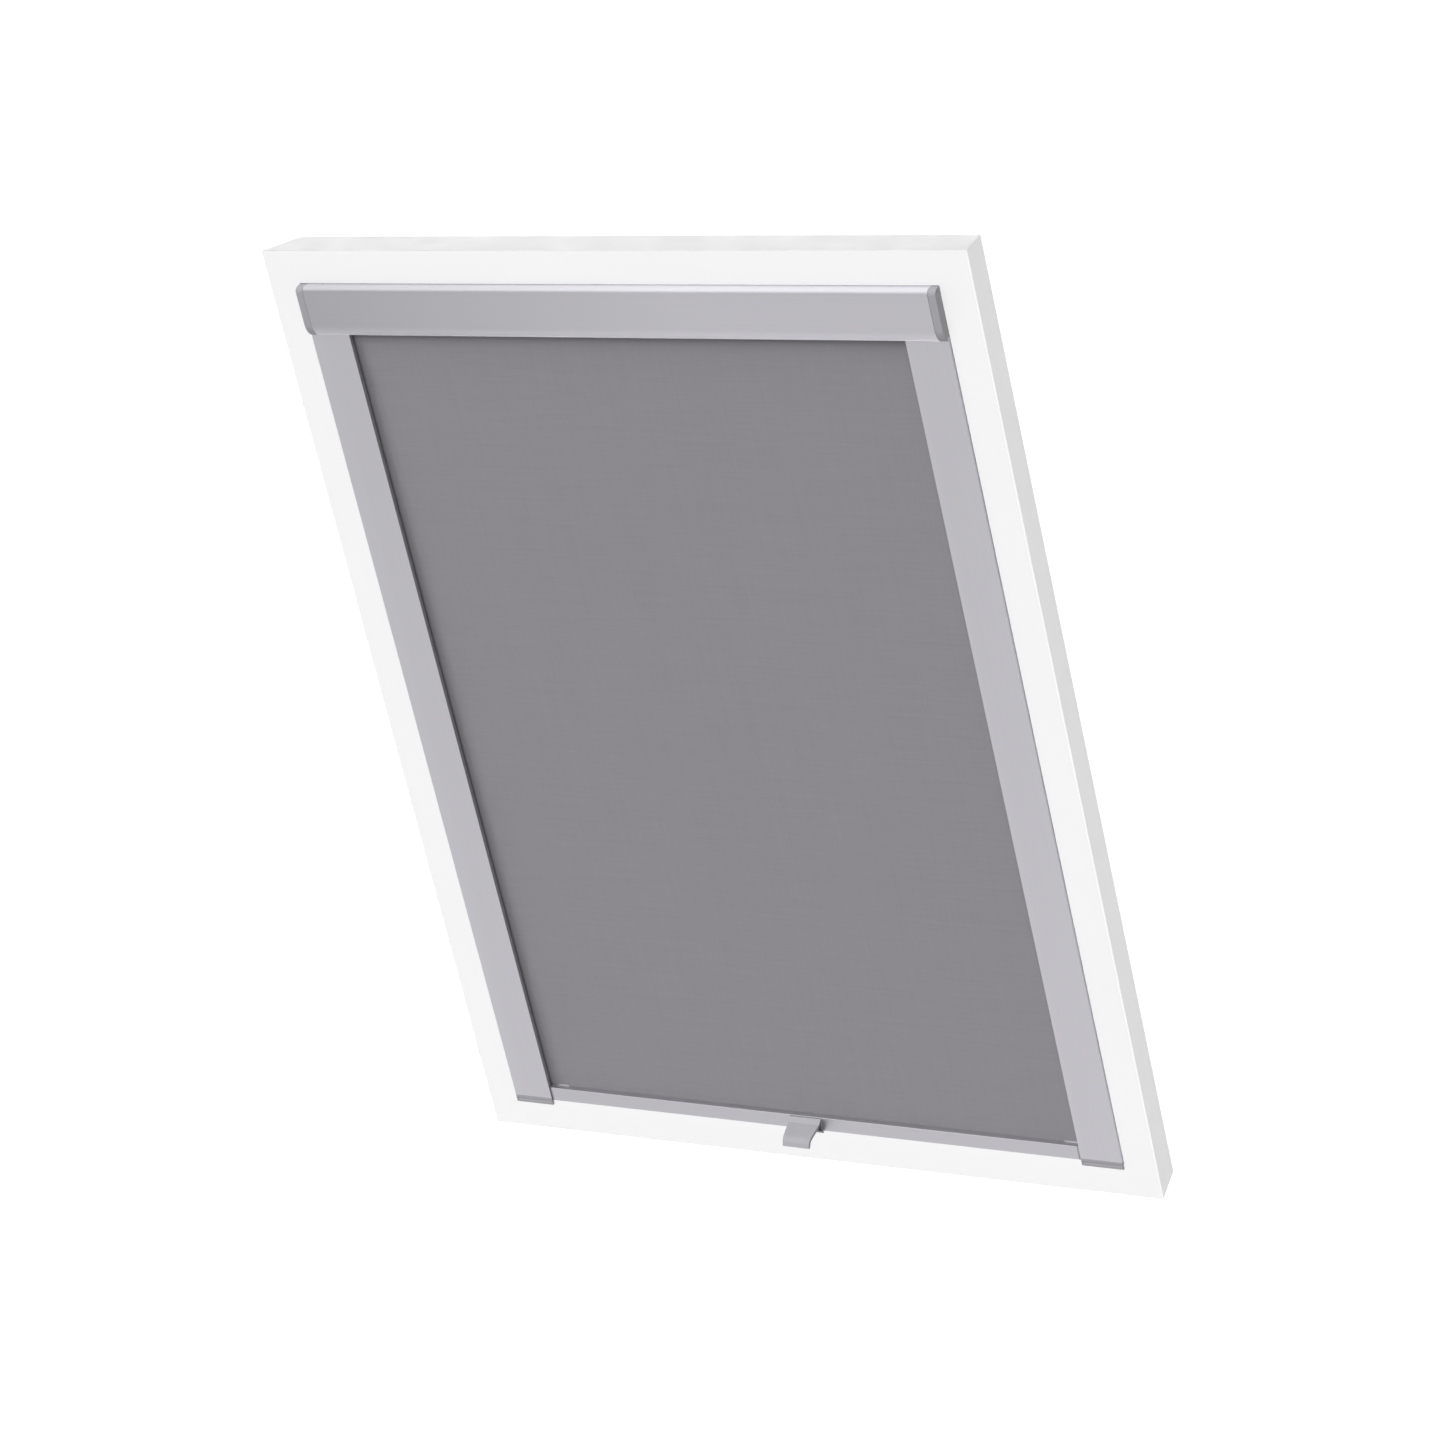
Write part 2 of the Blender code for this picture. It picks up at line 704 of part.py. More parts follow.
def roller_parts(axis):
    # Everything here is drawn about the roller's own axis.
    add_mesh("roller_tube", ring(-tube_half, tube_half, tube_radius, tube_radius - tube_wall, 32),
             "silver_anodised", axis, smooth=True)
    add_mesh("fabric_roll", ring(-fabric_half, fabric_half, roll_radius, tube_radius + seat_gap, 32),
             "grey_fabric", axis, smooth=True)
    plug = [(plug_inner, bore_radius), (plug_inner, plug_radius), (plug_shoulder, plug_radius)]
    plug += [(plug_shoulder, tube_radius), (plug_outer, tube_radius), (plug_outer, bore_radius)]
    add_mesh("idler_plug", turned(plug, closed=True), "natural_nylon", axis, smooth=True)
    mirrored = [(-x, radius) for x, radius in plug]
    add_mesh("spring_drive_plug", turned(mirrored, closed=True), "natural_nylon", axis, smooth=True)
    bush_start = collar_start + collar_length + slide_gap
    bush = ring(bush_start, bush_start + bush_length, plug_radius, bore_radius)
    add_mesh("arbor_bush", bush, "natural_nylon", axis, smooth=True)
    start = -plug_inner + seat_gap + spring_wire_radius
    end = collar_start - seat_gap - spring_wire_radius
    helix_curve("torsion_spring", spring_radius, spring_wire_radius, spring_turns, start, end,
                "spring_steel", axis)


def spring_arbor():
    # A square end held in the left end cap, a neck, a round shaft and a collar that
    # holds the spring.
    collar_end = collar_start + collar_length
    end = collar_end + slide_gap + bush_length + slide_gap
    shaft_start = -boss_face - bite
    neck_end = arbor_neck_length - boss_face
    neck_radius = arbor_radius - arbor_neck_depth
    outline = [(shaft_start, 0), (shaft_start, neck_radius), (neck_end, neck_radius)]
    outline += [(neck_end, arbor_radius), (collar_start, arbor_radius)]
    outline += [(collar_start, collar_radius), (collar_end, collar_radius)]
    outline += [(collar_end, arbor_radius), (end, arbor_radius), (end, 0)]
    arbor = add_mesh("spring_arbor", turned(outline, closed=False, y=roller_y, z=roller_z),
                     "zinc_steel", smooth=True)
    square = box((-bearing_end, roller_y - arbor_radius, roller_z - arbor_radius),
                 (-boss_face, roller_y + arbor_radius, roller_z + arbor_radius))
    combine(arbor, "UNION", "arbor_square_end", square)


def idler_pin():
    start = boss_face - idler_pin_grip
    bm = rod(start, bearing_end, arbor_radius, y=roller_y, z=roller_z)
    add_mesh("idler_pin", bm, "zinc_steel", smooth=True)


def blind_fabric():
    # The cloth narrows where its hem enters the bar, so that it clears the guides.
    step = bar_bottom + bar_height + 2 * seat_gap
    half = [(hem_half, fabric_bottom), (hem_half, step), (fabric_half, step), (fabric_half, roller_z)]
    outline = half + [(-x, z) for x, z in reversed(half)]
    bm = extruded(outline, fabric_plane - fabric_thickness / 2, fabric_plane + fabric_thickness / 2, "Y")
    add_mesh("blind_fabric", bm, "grey_fabric")


def bar_outline():
    # Seen from the end, about the bar's own middle, with the hem slot on top.
    d = bar_depth / 2
    h = bar_height / 2
    r = bar_edge_radius
    s = bar_slot / 2
    w = bar_wall
    quarter = math.pi / 2
    points = [(-s, h)]
    points += arc((-d + r, h - r), r, quarter, 2 * quarter, 3)
    points += arc((-d + r, -h + r), r, 2 * quarter, 3 * quarter, 3)
    points += arc((d - r, -h + r), r, 3 * quarter, 4 * quarter, 3)
    points += arc((d - r, h - r), r, 0, quarter, 3)
    points += [(s, h), (s, h - w), (d - w, h - w), (d - w, -h + w)]
    points += [(-d + w, -h + w), (-d + w, h - w), (-s, h - w)]
    return points


def bottom_bar(slide):
    bar = add_mesh("bottom_bar", extruded(bar_outline(), -bar_half, bar_half, "X"),
                   "silver_anodised", slide, smooth=True)
    holes = [peg(x, bar_depth / 2 - 2 * bar_wall, bar_depth / 2 + bite, peg_radius + seat_gap)
             for x in (-peg_spacing / 2, peg_spacing / 2)]
    combine(bar, "DIFFERENCE", "peg_holes", gathered(holes), slide)


def peg(x, start, end, radius):
    # A short rod along Y, in front of the bar's middle plane.
    bm = bmesh.new()
    bmesh.ops.create_cone(bm, cap_ends=True, segments=12, radius1=radius, radius2=radius,
                          depth=end - start)
    bmesh.ops.rotate(bm, verts=bm.verts, cent=(0, 0, 0), matrix=Matrix.Rotation(math.pi / 2, 3, "X"))
    bmesh.ops.translate(bm, verts=bm.verts, vec=(x, -(start + end) / 2, 0))
    return bm


def hem_rod(slide):
    z = fabric_bottom - seat_gap - hem_rod_radius - bar_centre
    add_mesh("hem_rod", rod(-hem_half, hem_half, hem_rod_radius, steps=16, z=z), "natural_nylon",
             slide, smooth=True)


def bar_guide(side_name, side, slide):
    d = bar_depth / 2
    h = bar_height / 2
    inner = bar_half + seat_gap
    outer = inner + guide_flange
    guide = add_mesh(
        f"bar_guide_{side_name}",
        side_box(side, (inner, outer), (-d, d), (-h, h)),
        "grey_plastic", slide,
    )
    fit = bar_wall + seat_gap
    plug = side_box(side, (bar_half - guide_plug_length, outer - guide_flange / 2),
                    (-d + fit, d - fit), (-h + fit, h - fit))
    combine(guide, "UNION", f"guide_plug_{side_name}", plug, slide)
    tongue_low = rail_bottom + 2 * seat_gap - bar_centre
    tongue = side_box(side, (outer - guide_flange / 2, shoe_start),
                      (-tongue_thickness / 2, tongue_thickness / 2), (tongue_low, h - seat_gap))
    combine(guide, "UNION", f"guide_tongue_{side_name}", tongue, slide)
    low = shoe_bottom - bar_centre
    shoe_half = channel_half - slide_gap
    shoe = side_box(side, (shoe_start - seat_gap, shoe_end), (-shoe_half, shoe_half),
                    (low, low + shoe_height))
    combine(guide, "UNION", f"guide_shoe_{side_name}", shoe, slide)
    pocket = rod(shoe_end - pocket_depth, shoe_end + bite, pad_stem_radius + seat_gap, steps=20,
                 z=shoe_centre - bar_centre)
    turn_to_side(pocket, side)
    combine(guide, "DIFFERENCE", f"guide_pocket_{side_name}", pocket, slide)


def brake(side_name, side, slide):
    z = shoe_centre - bar_centre
    head_start = shoe_end + pad_head_gap
    stem_start = head_start - pad_stem_length
    pad = add_mesh(
        f"brake_pad_{side_name}",
        side_box(side, (head_start, pad_end), (-pad_half, pad_half),
                 (z - pad_height / 2, z + pad_height / 2)),
        "grey_felt", slide,
    )
    stem = rod(stem_start, head_start + bite, pad_stem_radius, steps=20, z=z)
    turn_to_side(stem, side)
    combine(pad, "UNION", f"pad_stem_{side_name}", stem, slide)
    start = shoe_end - pocket_depth + seat_gap + brake_wire_radius
    end = stem_start - seat_gap - brake_wire_radius
    spring = helix_curve(f"brake_spring_{side_name}", brake_spring_radius, brake_wire_radius,
                         brake_spring_turns, side * start, side * end, "spring_steel", slide)
    spring.location = (0, 0, z)


def shoulder_up(reach):
    # The steep shoulder between the bar and the crease. Heights are over the bar's middle.
    top = bar_height / 2 - handle_edge_step
    return top - crease_drop * (reach - seat_gap) / (crease_reach - seat_gap)


def blade_up(reach):
    return shoulder_up(crease_reach) - math.tan(blade_slope) * (reach - crease_reach)


def web_up(reach):
    # The web runs from under the bar up to the underside of the blade.
    foot = -bar_height / 2 - handle_foot_drop
    meets = blade_up(web_reach) - blade_thickness / math.cos(blade_slope)
    return foot + (meets - foot) * (reach - seat_gap) / (web_reach - seat_gap)


def wall_rise(up, start, end):
    # How far a wall's thickness reaches up or down where it runs from start to end.
    slope = (up(end) - up(start)) / (end - start)
    return handle_wall / math.cos(math.atan(slope))


def handle_outline():
    # Seen from the end. The first number is the reach in front of the bar's face and
    # the second is the height over the bar's middle.
    centre = (blade_reach - blade_radius * math.sin(blade_slope),
              blade_up(blade_reach) - blade_radius * math.cos(blade_slope))
    first = math.pi / 2 - blade_slope
    last = math.pi / 2 - blade_end_slope
    outer = arc(centre, blade_radius, first, last, 6)
    inner = arc(centre, blade_radius - blade_thickness, last, first, 6)
    tip = (blade_tip_length * math.cos(blade_end_slope), blade_tip_length * math.sin(blade_end_slope))
    tip_ends = [(reach + tip[0], up - tip[1]) for reach, up in (outer[-1], inner[0])]
    points = [(seat_gap, shoulder_up(seat_gap)), (crease_reach, shoulder_up(crease_reach))]
    points += outer + tip_ends + inner
    points += [(web_reach, web_up(web_reach)), (seat_gap, web_up(seat_gap))]
    return points


def handle_tunnel():
    # The hollow between the shoulder, the leg on the bar and the web.
    back = seat_gap + handle_wall
    front = web_reach - 2 * handle_wall
    shoulder = wall_rise(shoulder_up, seat_gap, crease_reach)
    blade = blade_thickness / math.cos(blade_slope)
    web = wall_rise(web_up, seat_gap, web_reach)
    return [(back, shoulder_up(back) - shoulder),
            (crease_reach, shoulder_up(crease_reach) - max(shoulder, blade)),
            (front, blade_up(front) - blade), (front, web_up(front) + web), (back, web_up(back) + web)]


def pull_handle(slide):
    face = -bar_depth / 2
    half = handle_root_width / 2
    outline = [(face - reach, up) for reach, up in handle_outline()]
    taper = (handle_root_width - handle_tip_width) / 2 / max(face - y for y, up in outline)
    body = extruded(outline, -half, half, "X")
    for vert in body.verts:
        vert.co.x -= math.copysign(taper * (face - vert.co.y), vert.co.x)
    handle = add_mesh("pull_handle", body, "grey_plastic", slide, smooth=True)
    tunnel = [(face - reach, up) for reach, up in handle_tunnel()]
    combine(handle, "DIFFERENCE", "handle_tunnel",
            extruded(tunnel, -half - bite, half + bite, "X"), slide)
    pegs = [peg(x, hem_rod_radius + peg_rod_gap, bar_depth / 2 + handle_wall, peg_radius)
            for x in (-peg_spacing / 2, peg_spacing / 2)]
    combine(handle, "UNION", "handle_pegs", gathered(pegs), slide)


clear_scene()
for side_name, side in sides:
    frame_stile(side_name, side)
    side_rail(side_name, side)
    rail_screws(side_name, side)
    rail_brushes(side_name, side)
    rail_foot(side_name, side)
    end_cap(side_name, side)
    cap_screws(side_name, side)
frame_cross_rail("frame_top_rail", opening_top, frame_height)
frame_cross_rail("frame_bottom_rail", 0, bottom_rail_height)
cassette_cover()
cassette_back_plate()
cassette_seal()
spring_arbor()
idler_pin()
roller_parts(add_empty("roller_axis", (0, roller_y, roller_z)))
blind_fabric()
bar_slide = add_empty("bar_slide", (0, fabric_plane, bar_centre))
bottom_bar(bar_slide)
hem_rod(bar_slide)
for side_name, side in sides:
    bar_guide(side_name, side, bar_slide)
    brake(side_name, side, bar_slide)
pull_handle(bar_slide)
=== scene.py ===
import math
import random

import bmesh
import bpy
from mathutils import Matrix, Vector


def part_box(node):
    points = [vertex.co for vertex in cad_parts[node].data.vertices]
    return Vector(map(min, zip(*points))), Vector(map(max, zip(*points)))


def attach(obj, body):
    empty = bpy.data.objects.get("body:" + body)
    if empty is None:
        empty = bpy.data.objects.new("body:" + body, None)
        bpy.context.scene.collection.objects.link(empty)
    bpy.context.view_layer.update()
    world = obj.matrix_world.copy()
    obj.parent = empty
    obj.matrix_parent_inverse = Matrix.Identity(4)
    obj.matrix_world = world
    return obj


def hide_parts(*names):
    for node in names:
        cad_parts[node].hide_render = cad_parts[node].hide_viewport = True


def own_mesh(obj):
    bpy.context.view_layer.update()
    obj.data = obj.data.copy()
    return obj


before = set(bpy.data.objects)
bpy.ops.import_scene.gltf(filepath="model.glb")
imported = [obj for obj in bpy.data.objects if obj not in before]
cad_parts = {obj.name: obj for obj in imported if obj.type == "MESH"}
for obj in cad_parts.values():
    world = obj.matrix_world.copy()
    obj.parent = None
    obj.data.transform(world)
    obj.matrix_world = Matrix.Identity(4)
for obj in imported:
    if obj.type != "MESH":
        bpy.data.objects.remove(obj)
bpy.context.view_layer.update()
mm = 0.001
random.seed(7)
print("frame loaded")

staticBody = "frame_and_cassette"
barBody = "sliding_bar"
rollerBody = "roller"
sides = (("left", -1), ("right", 1))
seatGap = 0.3 * mm  # between two parts that seat on each other
near = 0.01 * mm  # two coordinates this close count as the same
holeSteps = 24


# Nodes for the finishes. Every pattern reads Object coordinates, in metres.
def addNode(tree, kind, inputs=None, **settings):
    made = tree.nodes.new(kind)
    for name, value in settings.items():
        setattr(made, name, value)
    for name, value in (inputs or {}).items():
        if isinstance(value, bpy.types.NodeSocket):
            tree.links.new(value, made.inputs[name])
        else:
            made.inputs[name].default_value = value
    return made


def place(tree, scale=(1, 1, 1)):
    point = addNode(tree, "ShaderNodeTexCoord").outputs["Object"]
    return addNode(tree, "ShaderNodeMapping", {"Vector": point, "Scale": scale}).outputs["Vector"]


def grain(tree, scale, stretch=(1, 1, 1), detail=2.0):
    return addNode(tree, "ShaderNodeTexNoise",
                   {"Vector": place(tree, stretch), "Scale": scale, "Detail": detail}).outputs["Fac"]


def ramp(tree, factor, low, high, start=0.3, end=0.7):
    made = addNode(tree, "ShaderNodeValToRGB", {"Fac": factor})
    for stop, position, colour in zip(made.color_ramp.elements, (start, end), (low, high)):
        stop.position = position
        stop.color = (*colour, 1)
    return made.outputs["Color"]


def spread(tree, factor, low, high, start=0.3, end=0.7):
    return addNode(tree, "ShaderNodeMapRange", {
        "Value": factor, "From Min": start, "From Max": end, "To Min": low, "To Max": high,
    }).outputs["Result"]


def bump(tree, height, depth, before=None):
    inputs = {"Height": height, "Distance": depth, "Strength": 1.0}
    if before:
        inputs["Normal"] = before
    return addNode(tree, "ShaderNodeBump", inputs).outputs["Normal"]


def multiplied(tree, first, second):
    # A Mix node's inputs 0, 6 and 7 are its factor and its two colours.
    return addNode(tree, "ShaderNodeMix", {0: 1.0, 6: first, 7: second},
                   data_type="RGBA", blend_type="MULTIPLY").outputs[2]


def shades(colour, amount):
    return [part * (1 - amount) for part in colour], [part * (1 + amount) for part in colour]


def startFinish(name, **sockets):
    finish = bpy.data.materials.new(name)
    finish.use_nodes = True
    shader = finish.node_tree.nodes["Principled BSDF"]
    for socket, value in sockets.items():
        shader.inputs[socket.replace("_", " ")].default_value = value
    return finish, finish.node_tree, shader


def fit(tree, shader, colour, roughness, normal):
    for socket, value in (("Base Color", colour), ("Roughness", roughness), ("Normal", normal)):
        tree.links.new(value, shader.inputs[socket])


# Finishes. Sizes such as cloud, peel or fibre are noise scales, and depths are in metres.
lacquer = {"colour": (0.885, 0.885, 0.885), "cloud": 6, "cloudShade": 0.006, "patch": 40,
           "roughness": (0.36, 0.46), "peel": 420, "peelDepth": 0.000012}


def whiteLacquer():
    finish, tree, shader = startFinish("whiteLacquer", Specular_IOR_Level=0.35)
    cloud = grain(tree, lacquer["cloud"], detail=3)
    fit(tree, shader,
        ramp(tree, cloud, *shades(lacquer["colour"], lacquer["cloudShade"])),
        spread(tree, grain(tree, lacquer["patch"]), *lacquer["roughness"]),
        bump(tree, grain(tree, lacquer["peel"], detail=1), lacquer["peelDepth"]))
    return finish


anodising = {"colour": (0.488, 0.479, 0.512), "streak": 0.022, "blast": 3500, "blastDepth": 0.000004,
             "drawLine": 900, "drawDepth": 0.0000022, "roughness": (0.36, 0.42),
             "halfLength": 0.34, "leftEnds": 0.62}


def anodised(name, stretch, paintedLeftShade=None, shade=1, lean=(0, 0, 0)):
    # Drawn lines run along the extrusion, under the fine blasted grain of the anodising.
    # The colour is multiplied by shade and painted lighter or darker along the piece, by lean a metre:
    # painted shading.
    finish, tree, shader = startFinish(name, Metallic=0.86, Specular_IOR_Level=0.4)
    lines = grain(tree, anodising["drawLine"], stretch, detail=3)
    colour = ramp(tree, lines, *shades(anodising["colour"], anodising["streak"]))
    along = addNode(tree, "ShaderNodeVectorMath", {0: place(tree), 1: lean}, operation="DOT_PRODUCT")
    colour = multiplied(tree, colour, spread(tree, along.outputs["Value"], shade - 1, shade + 1, -1, 1))
    # Painted shade: the colour is darkened towards the piece's left end, from the given left shade there
    # to full colour at leftEnds.
    if paintedLeftShade:
        along = addNode(tree, "ShaderNodeSeparateXYZ", {"Vector": place(tree)}).outputs["X"]
        share = spread(tree, along, 0, 1, -anodising["halfLength"], anodising["halfLength"])
        shading = ramp(tree, share, paintedLeftShade, (1, 1, 1), 0, anodising["leftEnds"])
        colour = multiplied(tree, colour, shading)
    blasted = bump(tree, grain(tree, anodising["blast"], detail=1), anodising["blastDepth"])
    fit(tree, shader, colour,
        spread(tree, lines, *anodising["roughness"]),
        bump(tree, lines, anodising["drawDepth"], blasted))
    return finish


moulding = {"flow": 35, "flowShade": 0.02, "speck": 2600, "speckShade": 0.05, "speckDepth": 0.000012,
            "smoother": 0.05, "rougher": 0.06}


def moulded(name, colour, roughness=0.5):
    # Spark-eroded grain of a moulding tool, with slow flow clouds in the colour.
    finish, tree, shader = startFinish(name, Specular_IOR_Level=0.4)
    flow = grain(tree, moulding["flow"], detail=3)
    speck = grain(tree, moulding["speck"], detail=1)
    fit(tree, shader,
        multiplied(tree, ramp(tree, flow, *shades(colour, moulding["flowShade"])),
                   ramp(tree, speck, *shades((1, 1, 1), moulding["speckShade"]))),
        spread(tree, speck, roughness - moulding["smoother"], roughness + moulding["rougher"]),
        bump(tree, speck, moulding["speckDepth"]))
    return finish


pile = {"colour": (0.30, 0.297, 0.305), "shade": 0.35, "fibre": 1900, "stretch": (1, 0.16, 1),
        "fibreDepth": 0.00006, "roughness": (0.8, 0.95)}


def brushPile():
    finish, tree, shader = startFinish("brushPile", Specular_IOR_Level=0.2, Sheen_Weight=0.2)
    fibres = grain(tree, pile["fibre"], pile["stretch"], detail=3)
    fit(tree, shader,
        ramp(tree, fibres, *shades(pile["colour"], pile["shade"])),
        spread(tree, fibres, *pile["roughness"]),
        bump(tree, fibres, pile["fibreDepth"]))
    return finish


weave = {"colour": (0.249, 0.241, 0.260), "shade": 0.05, "threadsPerMetre": 2100, "depth": 0.00003,
         "slub": 0.03, "slubSize": 1000, "slubLength": 0.012, "slubDepth": 0.00001,
         "roughness": (0.82, 0.92)}


def thread(tree, direction):
    # A wave texture runs through one period, two threads, each pi / 10 of its own coordinate.
    scale = weave["threadsPerMetre"] / 2 * math.pi / 10
    wave = addNode(tree, "ShaderNodeTexWave", {
        "Vector": place(tree), "Scale": scale, "Distortion": 0.0, "Detail": 0.0,
    }, bands_direction=direction)
    return spread(tree, wave.outputs["Fac"], -1, 1, 0, 1)


def wovenCloth():
    # Where warp and weft waves agree in sign, one thread lies over the other.
    finish, tree, shader = startFinish("wovenCloth", Specular_IOR_Level=0.25, Sheen_Weight=0.08,
                                       Sheen_Roughness=0.5)
    over = addNode(tree, "ShaderNodeMath", {0: thread(tree, "X"), 1: thread(tree, "Z")},
                   operation="MULTIPLY").outputs[0]
    slubWarp = grain(tree, weave["slubSize"], (1, 1, weave["slubLength"]), detail=2)
    slubWeft = grain(tree, weave["slubSize"], (weave["slubLength"], 1, 1), detail=2)
    colour = ramp(tree, over, *shades(weave["colour"], weave["shade"]), 0, 1)
    for slub in (slubWarp, slubWeft):
        colour = multiplied(tree, colour, ramp(tree, slub, *shades((1, 1, 1), weave["slub"])))
    fit(tree, shader, colour,
        spread(tree, slubWarp, *weave["roughness"]),
        bump(tree, slubWeft, weave["slubDepth"], bump(tree, over, weave["depth"])))
    return finish


coating = {"low": (0.60, 0.60, 0.61), "high": (0.64, 0.64, 0.65), "cloud": 9, "pebble": 1500,
           "pebbleDepth": 0.00002, "roughness": (0.5, 0.62)}


def coatedCloth():
    # The window side carries the light-tight coating, a pale pearl grey.
    finish, tree, shader = startFinish("coatedCloth", Specular_IOR_Level=0.35)
    pebble = grain(tree, coating["pebble"], detail=2)
    fit(tree, shader,
        ramp(tree, grain(tree, coating["cloud"], detail=3), coating["low"], coating["high"]),
        spread(tree, pebble, *coating["roughness"]),
        bump(tree, pebble, coating["pebbleDepth"]))
    return finish


plating = {"shade": 0.08, "smoother": 0.06, "rougher": 0.08, "depth": 0.000006}


def platedSteel(name, colour, roughness, cells):
    finish, tree, shader = startFinish(name, Metallic=1.0)
    spangle = grain(tree, cells, detail=2)
    fit(tree, shader,
        ramp(tree, spangle, *shades(colour, plating["shade"])),
        spread(tree, spangle, roughness - plating["smoother"], roughness + plating["rougher"]),
        bump(tree, spangle, plating["depth"]))
    return finish


felt = {"low": (0.10, 0.10, 0.105), "high": (0.18, 0.18, 0.185), "fibre": 1400, "stretch": (1, 1, 0.3),
        "fibreDepth": 0.00015, "roughness": (0.88, 0.98)}


def pressedFelt():
    finish, tree, shader = startFinish("pressedFelt", Specular_IOR_Level=0.15, Sheen_Weight=0.3)
    fibres = grain(tree, felt["fibre"], felt["stretch"], detail=4)
    fit(tree, shader,
        ramp(tree, fibres, felt["low"], felt["high"]),
        spread(tree, fibres, *felt["roughness"]),
        bump(tree, fibres, felt["fibreDepth"]))
    return finish


acrossLines, uprightLines = (0.006, 1, 1), (1, 1, 0.006)
finishes = {
    "lacquer": (whiteLacquer(), "white_lacquer"),
    # One anodising in three copies, each painted a little lighter or darker (shade); silverAcross is
    # painted lighter towards the right and silverUpright towards the lower right (lean): painted shading.
    "silverAcross": (anodised("silverAcross", acrossLines, shade=0.945, lean=(0.08, 0, 0)),
                     "silver_anodised"),
    # silverCover is also painted darker towards its left end: painted shade.
    "silverCover": (anodised("silverCover", acrossLines, (0.775, 0.78, 0.775), 0.932),
                    "silver_anodised"),
    "silverUpright": (anodised("silverUpright", uprightLines, shade=1.02, lean=(0.07, 0, -0.10)),
                      "silver_anodised"),
    "capPlastic": (moulded("capPlastic", (0.315, 0.308, 0.328)), "grey_plastic"),
    "handlePlastic": (moulded("handlePlastic", (0.338, 0.336, 0.354), 0.46), "grey_plastic"),
    "pile": (brushPile(), "dark_brush"),
    "cloth": (wovenCloth(), "grey_fabric"),
    "coating": (coatedCloth(), "grey_fabric"),
    "zinc": (platedSteel("zinc", (0.40, 0.40, 0.41), 0.34, 900), "zinc_steel"),
    "springWire": (platedSteel("springWire", (0.16, 0.16, 0.17), 0.32, 2200), "spring_steel"),
    "nylon": (moulded("naturalNylon", (0.60, 0.585, 0.54), 0.42), "natural_nylon"),
    "felt": (pressedFelt(), "grey_felt"),
}
print("finishes ready:", len(finishes))


# Shapes. The hairs of a brush cross each other, so hardly any of their points are merged.
meshSizes = {"merge": 0.001 * mm, "cadMerge": 0.002 * mm, "hairMerge": 0.00001 * mm,
             "flatAngle": math.radians(1), "smoothAngle": math.radians(34),
             "sharpAngle": math.radians(40)}


def section(corners, axis):
    # One flat face from a few corners (a, b, radius, steps). Corners with a radius are rounded.
    bm = bmesh.new()
    flat = {"X": lambda a, b: (0, a, b), "Y": lambda a, b: (a, 0, b), "Z": lambda a, b: (a, b, 0)}[axis]
    points = [bm.verts.new(flat(corner[0], corner[1])) for corner in corners]
    bm.faces.new(points)
    for index, corner in enumerate(corners):
        if len(corner) < 3:
            continue
        here, before, after = (Vector(corners[(index + step) % len(corners)][:2]) for step in (0, -1, 1))
        turn = (here - before).angle(after - here)
        bmesh.ops.bevel(bm, geom=[points[index]], offset=corner[2] * math.tan(turn / 2),
                        offset_type="OFFSET", segments=corner[3] if len(corner) > 3 else 3,
                        profile=0.5, affect="VERTICES", material=-1)
    return bm


def drawnOut(corners, start, end, axis):
    bm = section(corners, axis)
    grown = bmesh.ops.extrude_face_region(bm, geom=bm.faces[:])["geom"]
    along = {"X": Vector((1, 0, 0)), "Y": Vector((0, 1, 0)), "Z": Vector((0, 0, 1))}[axis]
    bmesh.ops.translate(bm, vec=along * start, verts=bm.verts)
    bmesh.ops.translate(bm, vec=along * (end - start),
                        verts=[part for part in grown if isinstance(part, bmesh.types.BMVert)])
    bmesh.ops.recalc_face_normals(bm, faces=bm.faces)
    return bm


def block(low, high, radius=0.0):
    bm = bmesh.new()
    bmesh.ops.create_cube(bm, size=1)
    low, high = Vector(low), Vector(high)
    bmesh.ops.scale(bm, vec=high - low, verts=bm.verts)
    bmesh.ops.translate(bm, vec=(low + high) / 2, verts=bm.verts)
    if radius:
        roundEdges(bm, bm.edges, radius)
    return bm


def turned(profile, y, z, steps=48):
    # The profile holds (x, radius) pairs, turned about a line along X through y, z.
    bm = bmesh.new()
    points = [bm.verts.new((x, y, z + radius)) for x, radius in profile]
    edges = [bm.edges.new(pair) for pair in zip(points, points[1:])]
    bmesh.ops.spin(bm, geom=points + edges, cent=(0, y, z), axis=(1, 0, 0),
                   angle=2 * math.pi, steps=steps, use_merge=True)
    bmesh.ops.remove_doubles(bm, verts=bm.verts, dist=meshSizes["merge"])
    bmesh.ops.recalc_face_normals(bm, faces=bm.faces)
    return bm


def roundEdges(bm, edges, radius, steps=2):
    bmesh.ops.bevel(bm, geom=list(edges), offset=radius, offset_type="OFFSET", segments=steps,
                    profile=0.5, affect="EDGES", material=-1, clamp_overlap=True)


def sharpEdges(bm, test, least=meshSizes["sharpAngle"]):
    return [edge for edge in bm.edges if len(edge.link_faces) == 2 and edge.is_convex
            and edge.calc_face_angle(0) > least and test(edge)]


def together(shapes):
    whole = bmesh.new()
    for shape in shapes:
        mesh = bpy.data.meshes.new("shape")
        shape.to_mesh(mesh)
        shape.free()
        whole.from_mesh(mesh)
        bpy.data.meshes.remove(mesh)
    return whole


def looseObject(bm):
    mesh = bpy.data.meshes.new("loose")
    bm.to_mesh(mesh)
    bm.free()
    thing = bpy.data.objects.new("loose", mesh)
    bpy.context.scene.collection.objects.link(thing)
    return thing


def boolean(bm, other, operation):
    target, tool = looseObject(bm), looseObject(other)
    modifier = target.modifiers.new("boolean", "BOOLEAN")
    modifier.operation = operation
    modifier.solver = "EXACT"
    modifier.object = tool
    result = bmesh.new()
    result.from_object(target, bpy.context.evaluated_depsgraph_get())
    for thing in (target, tool):
        bpy.data.meshes.remove(thing.data)
    return result


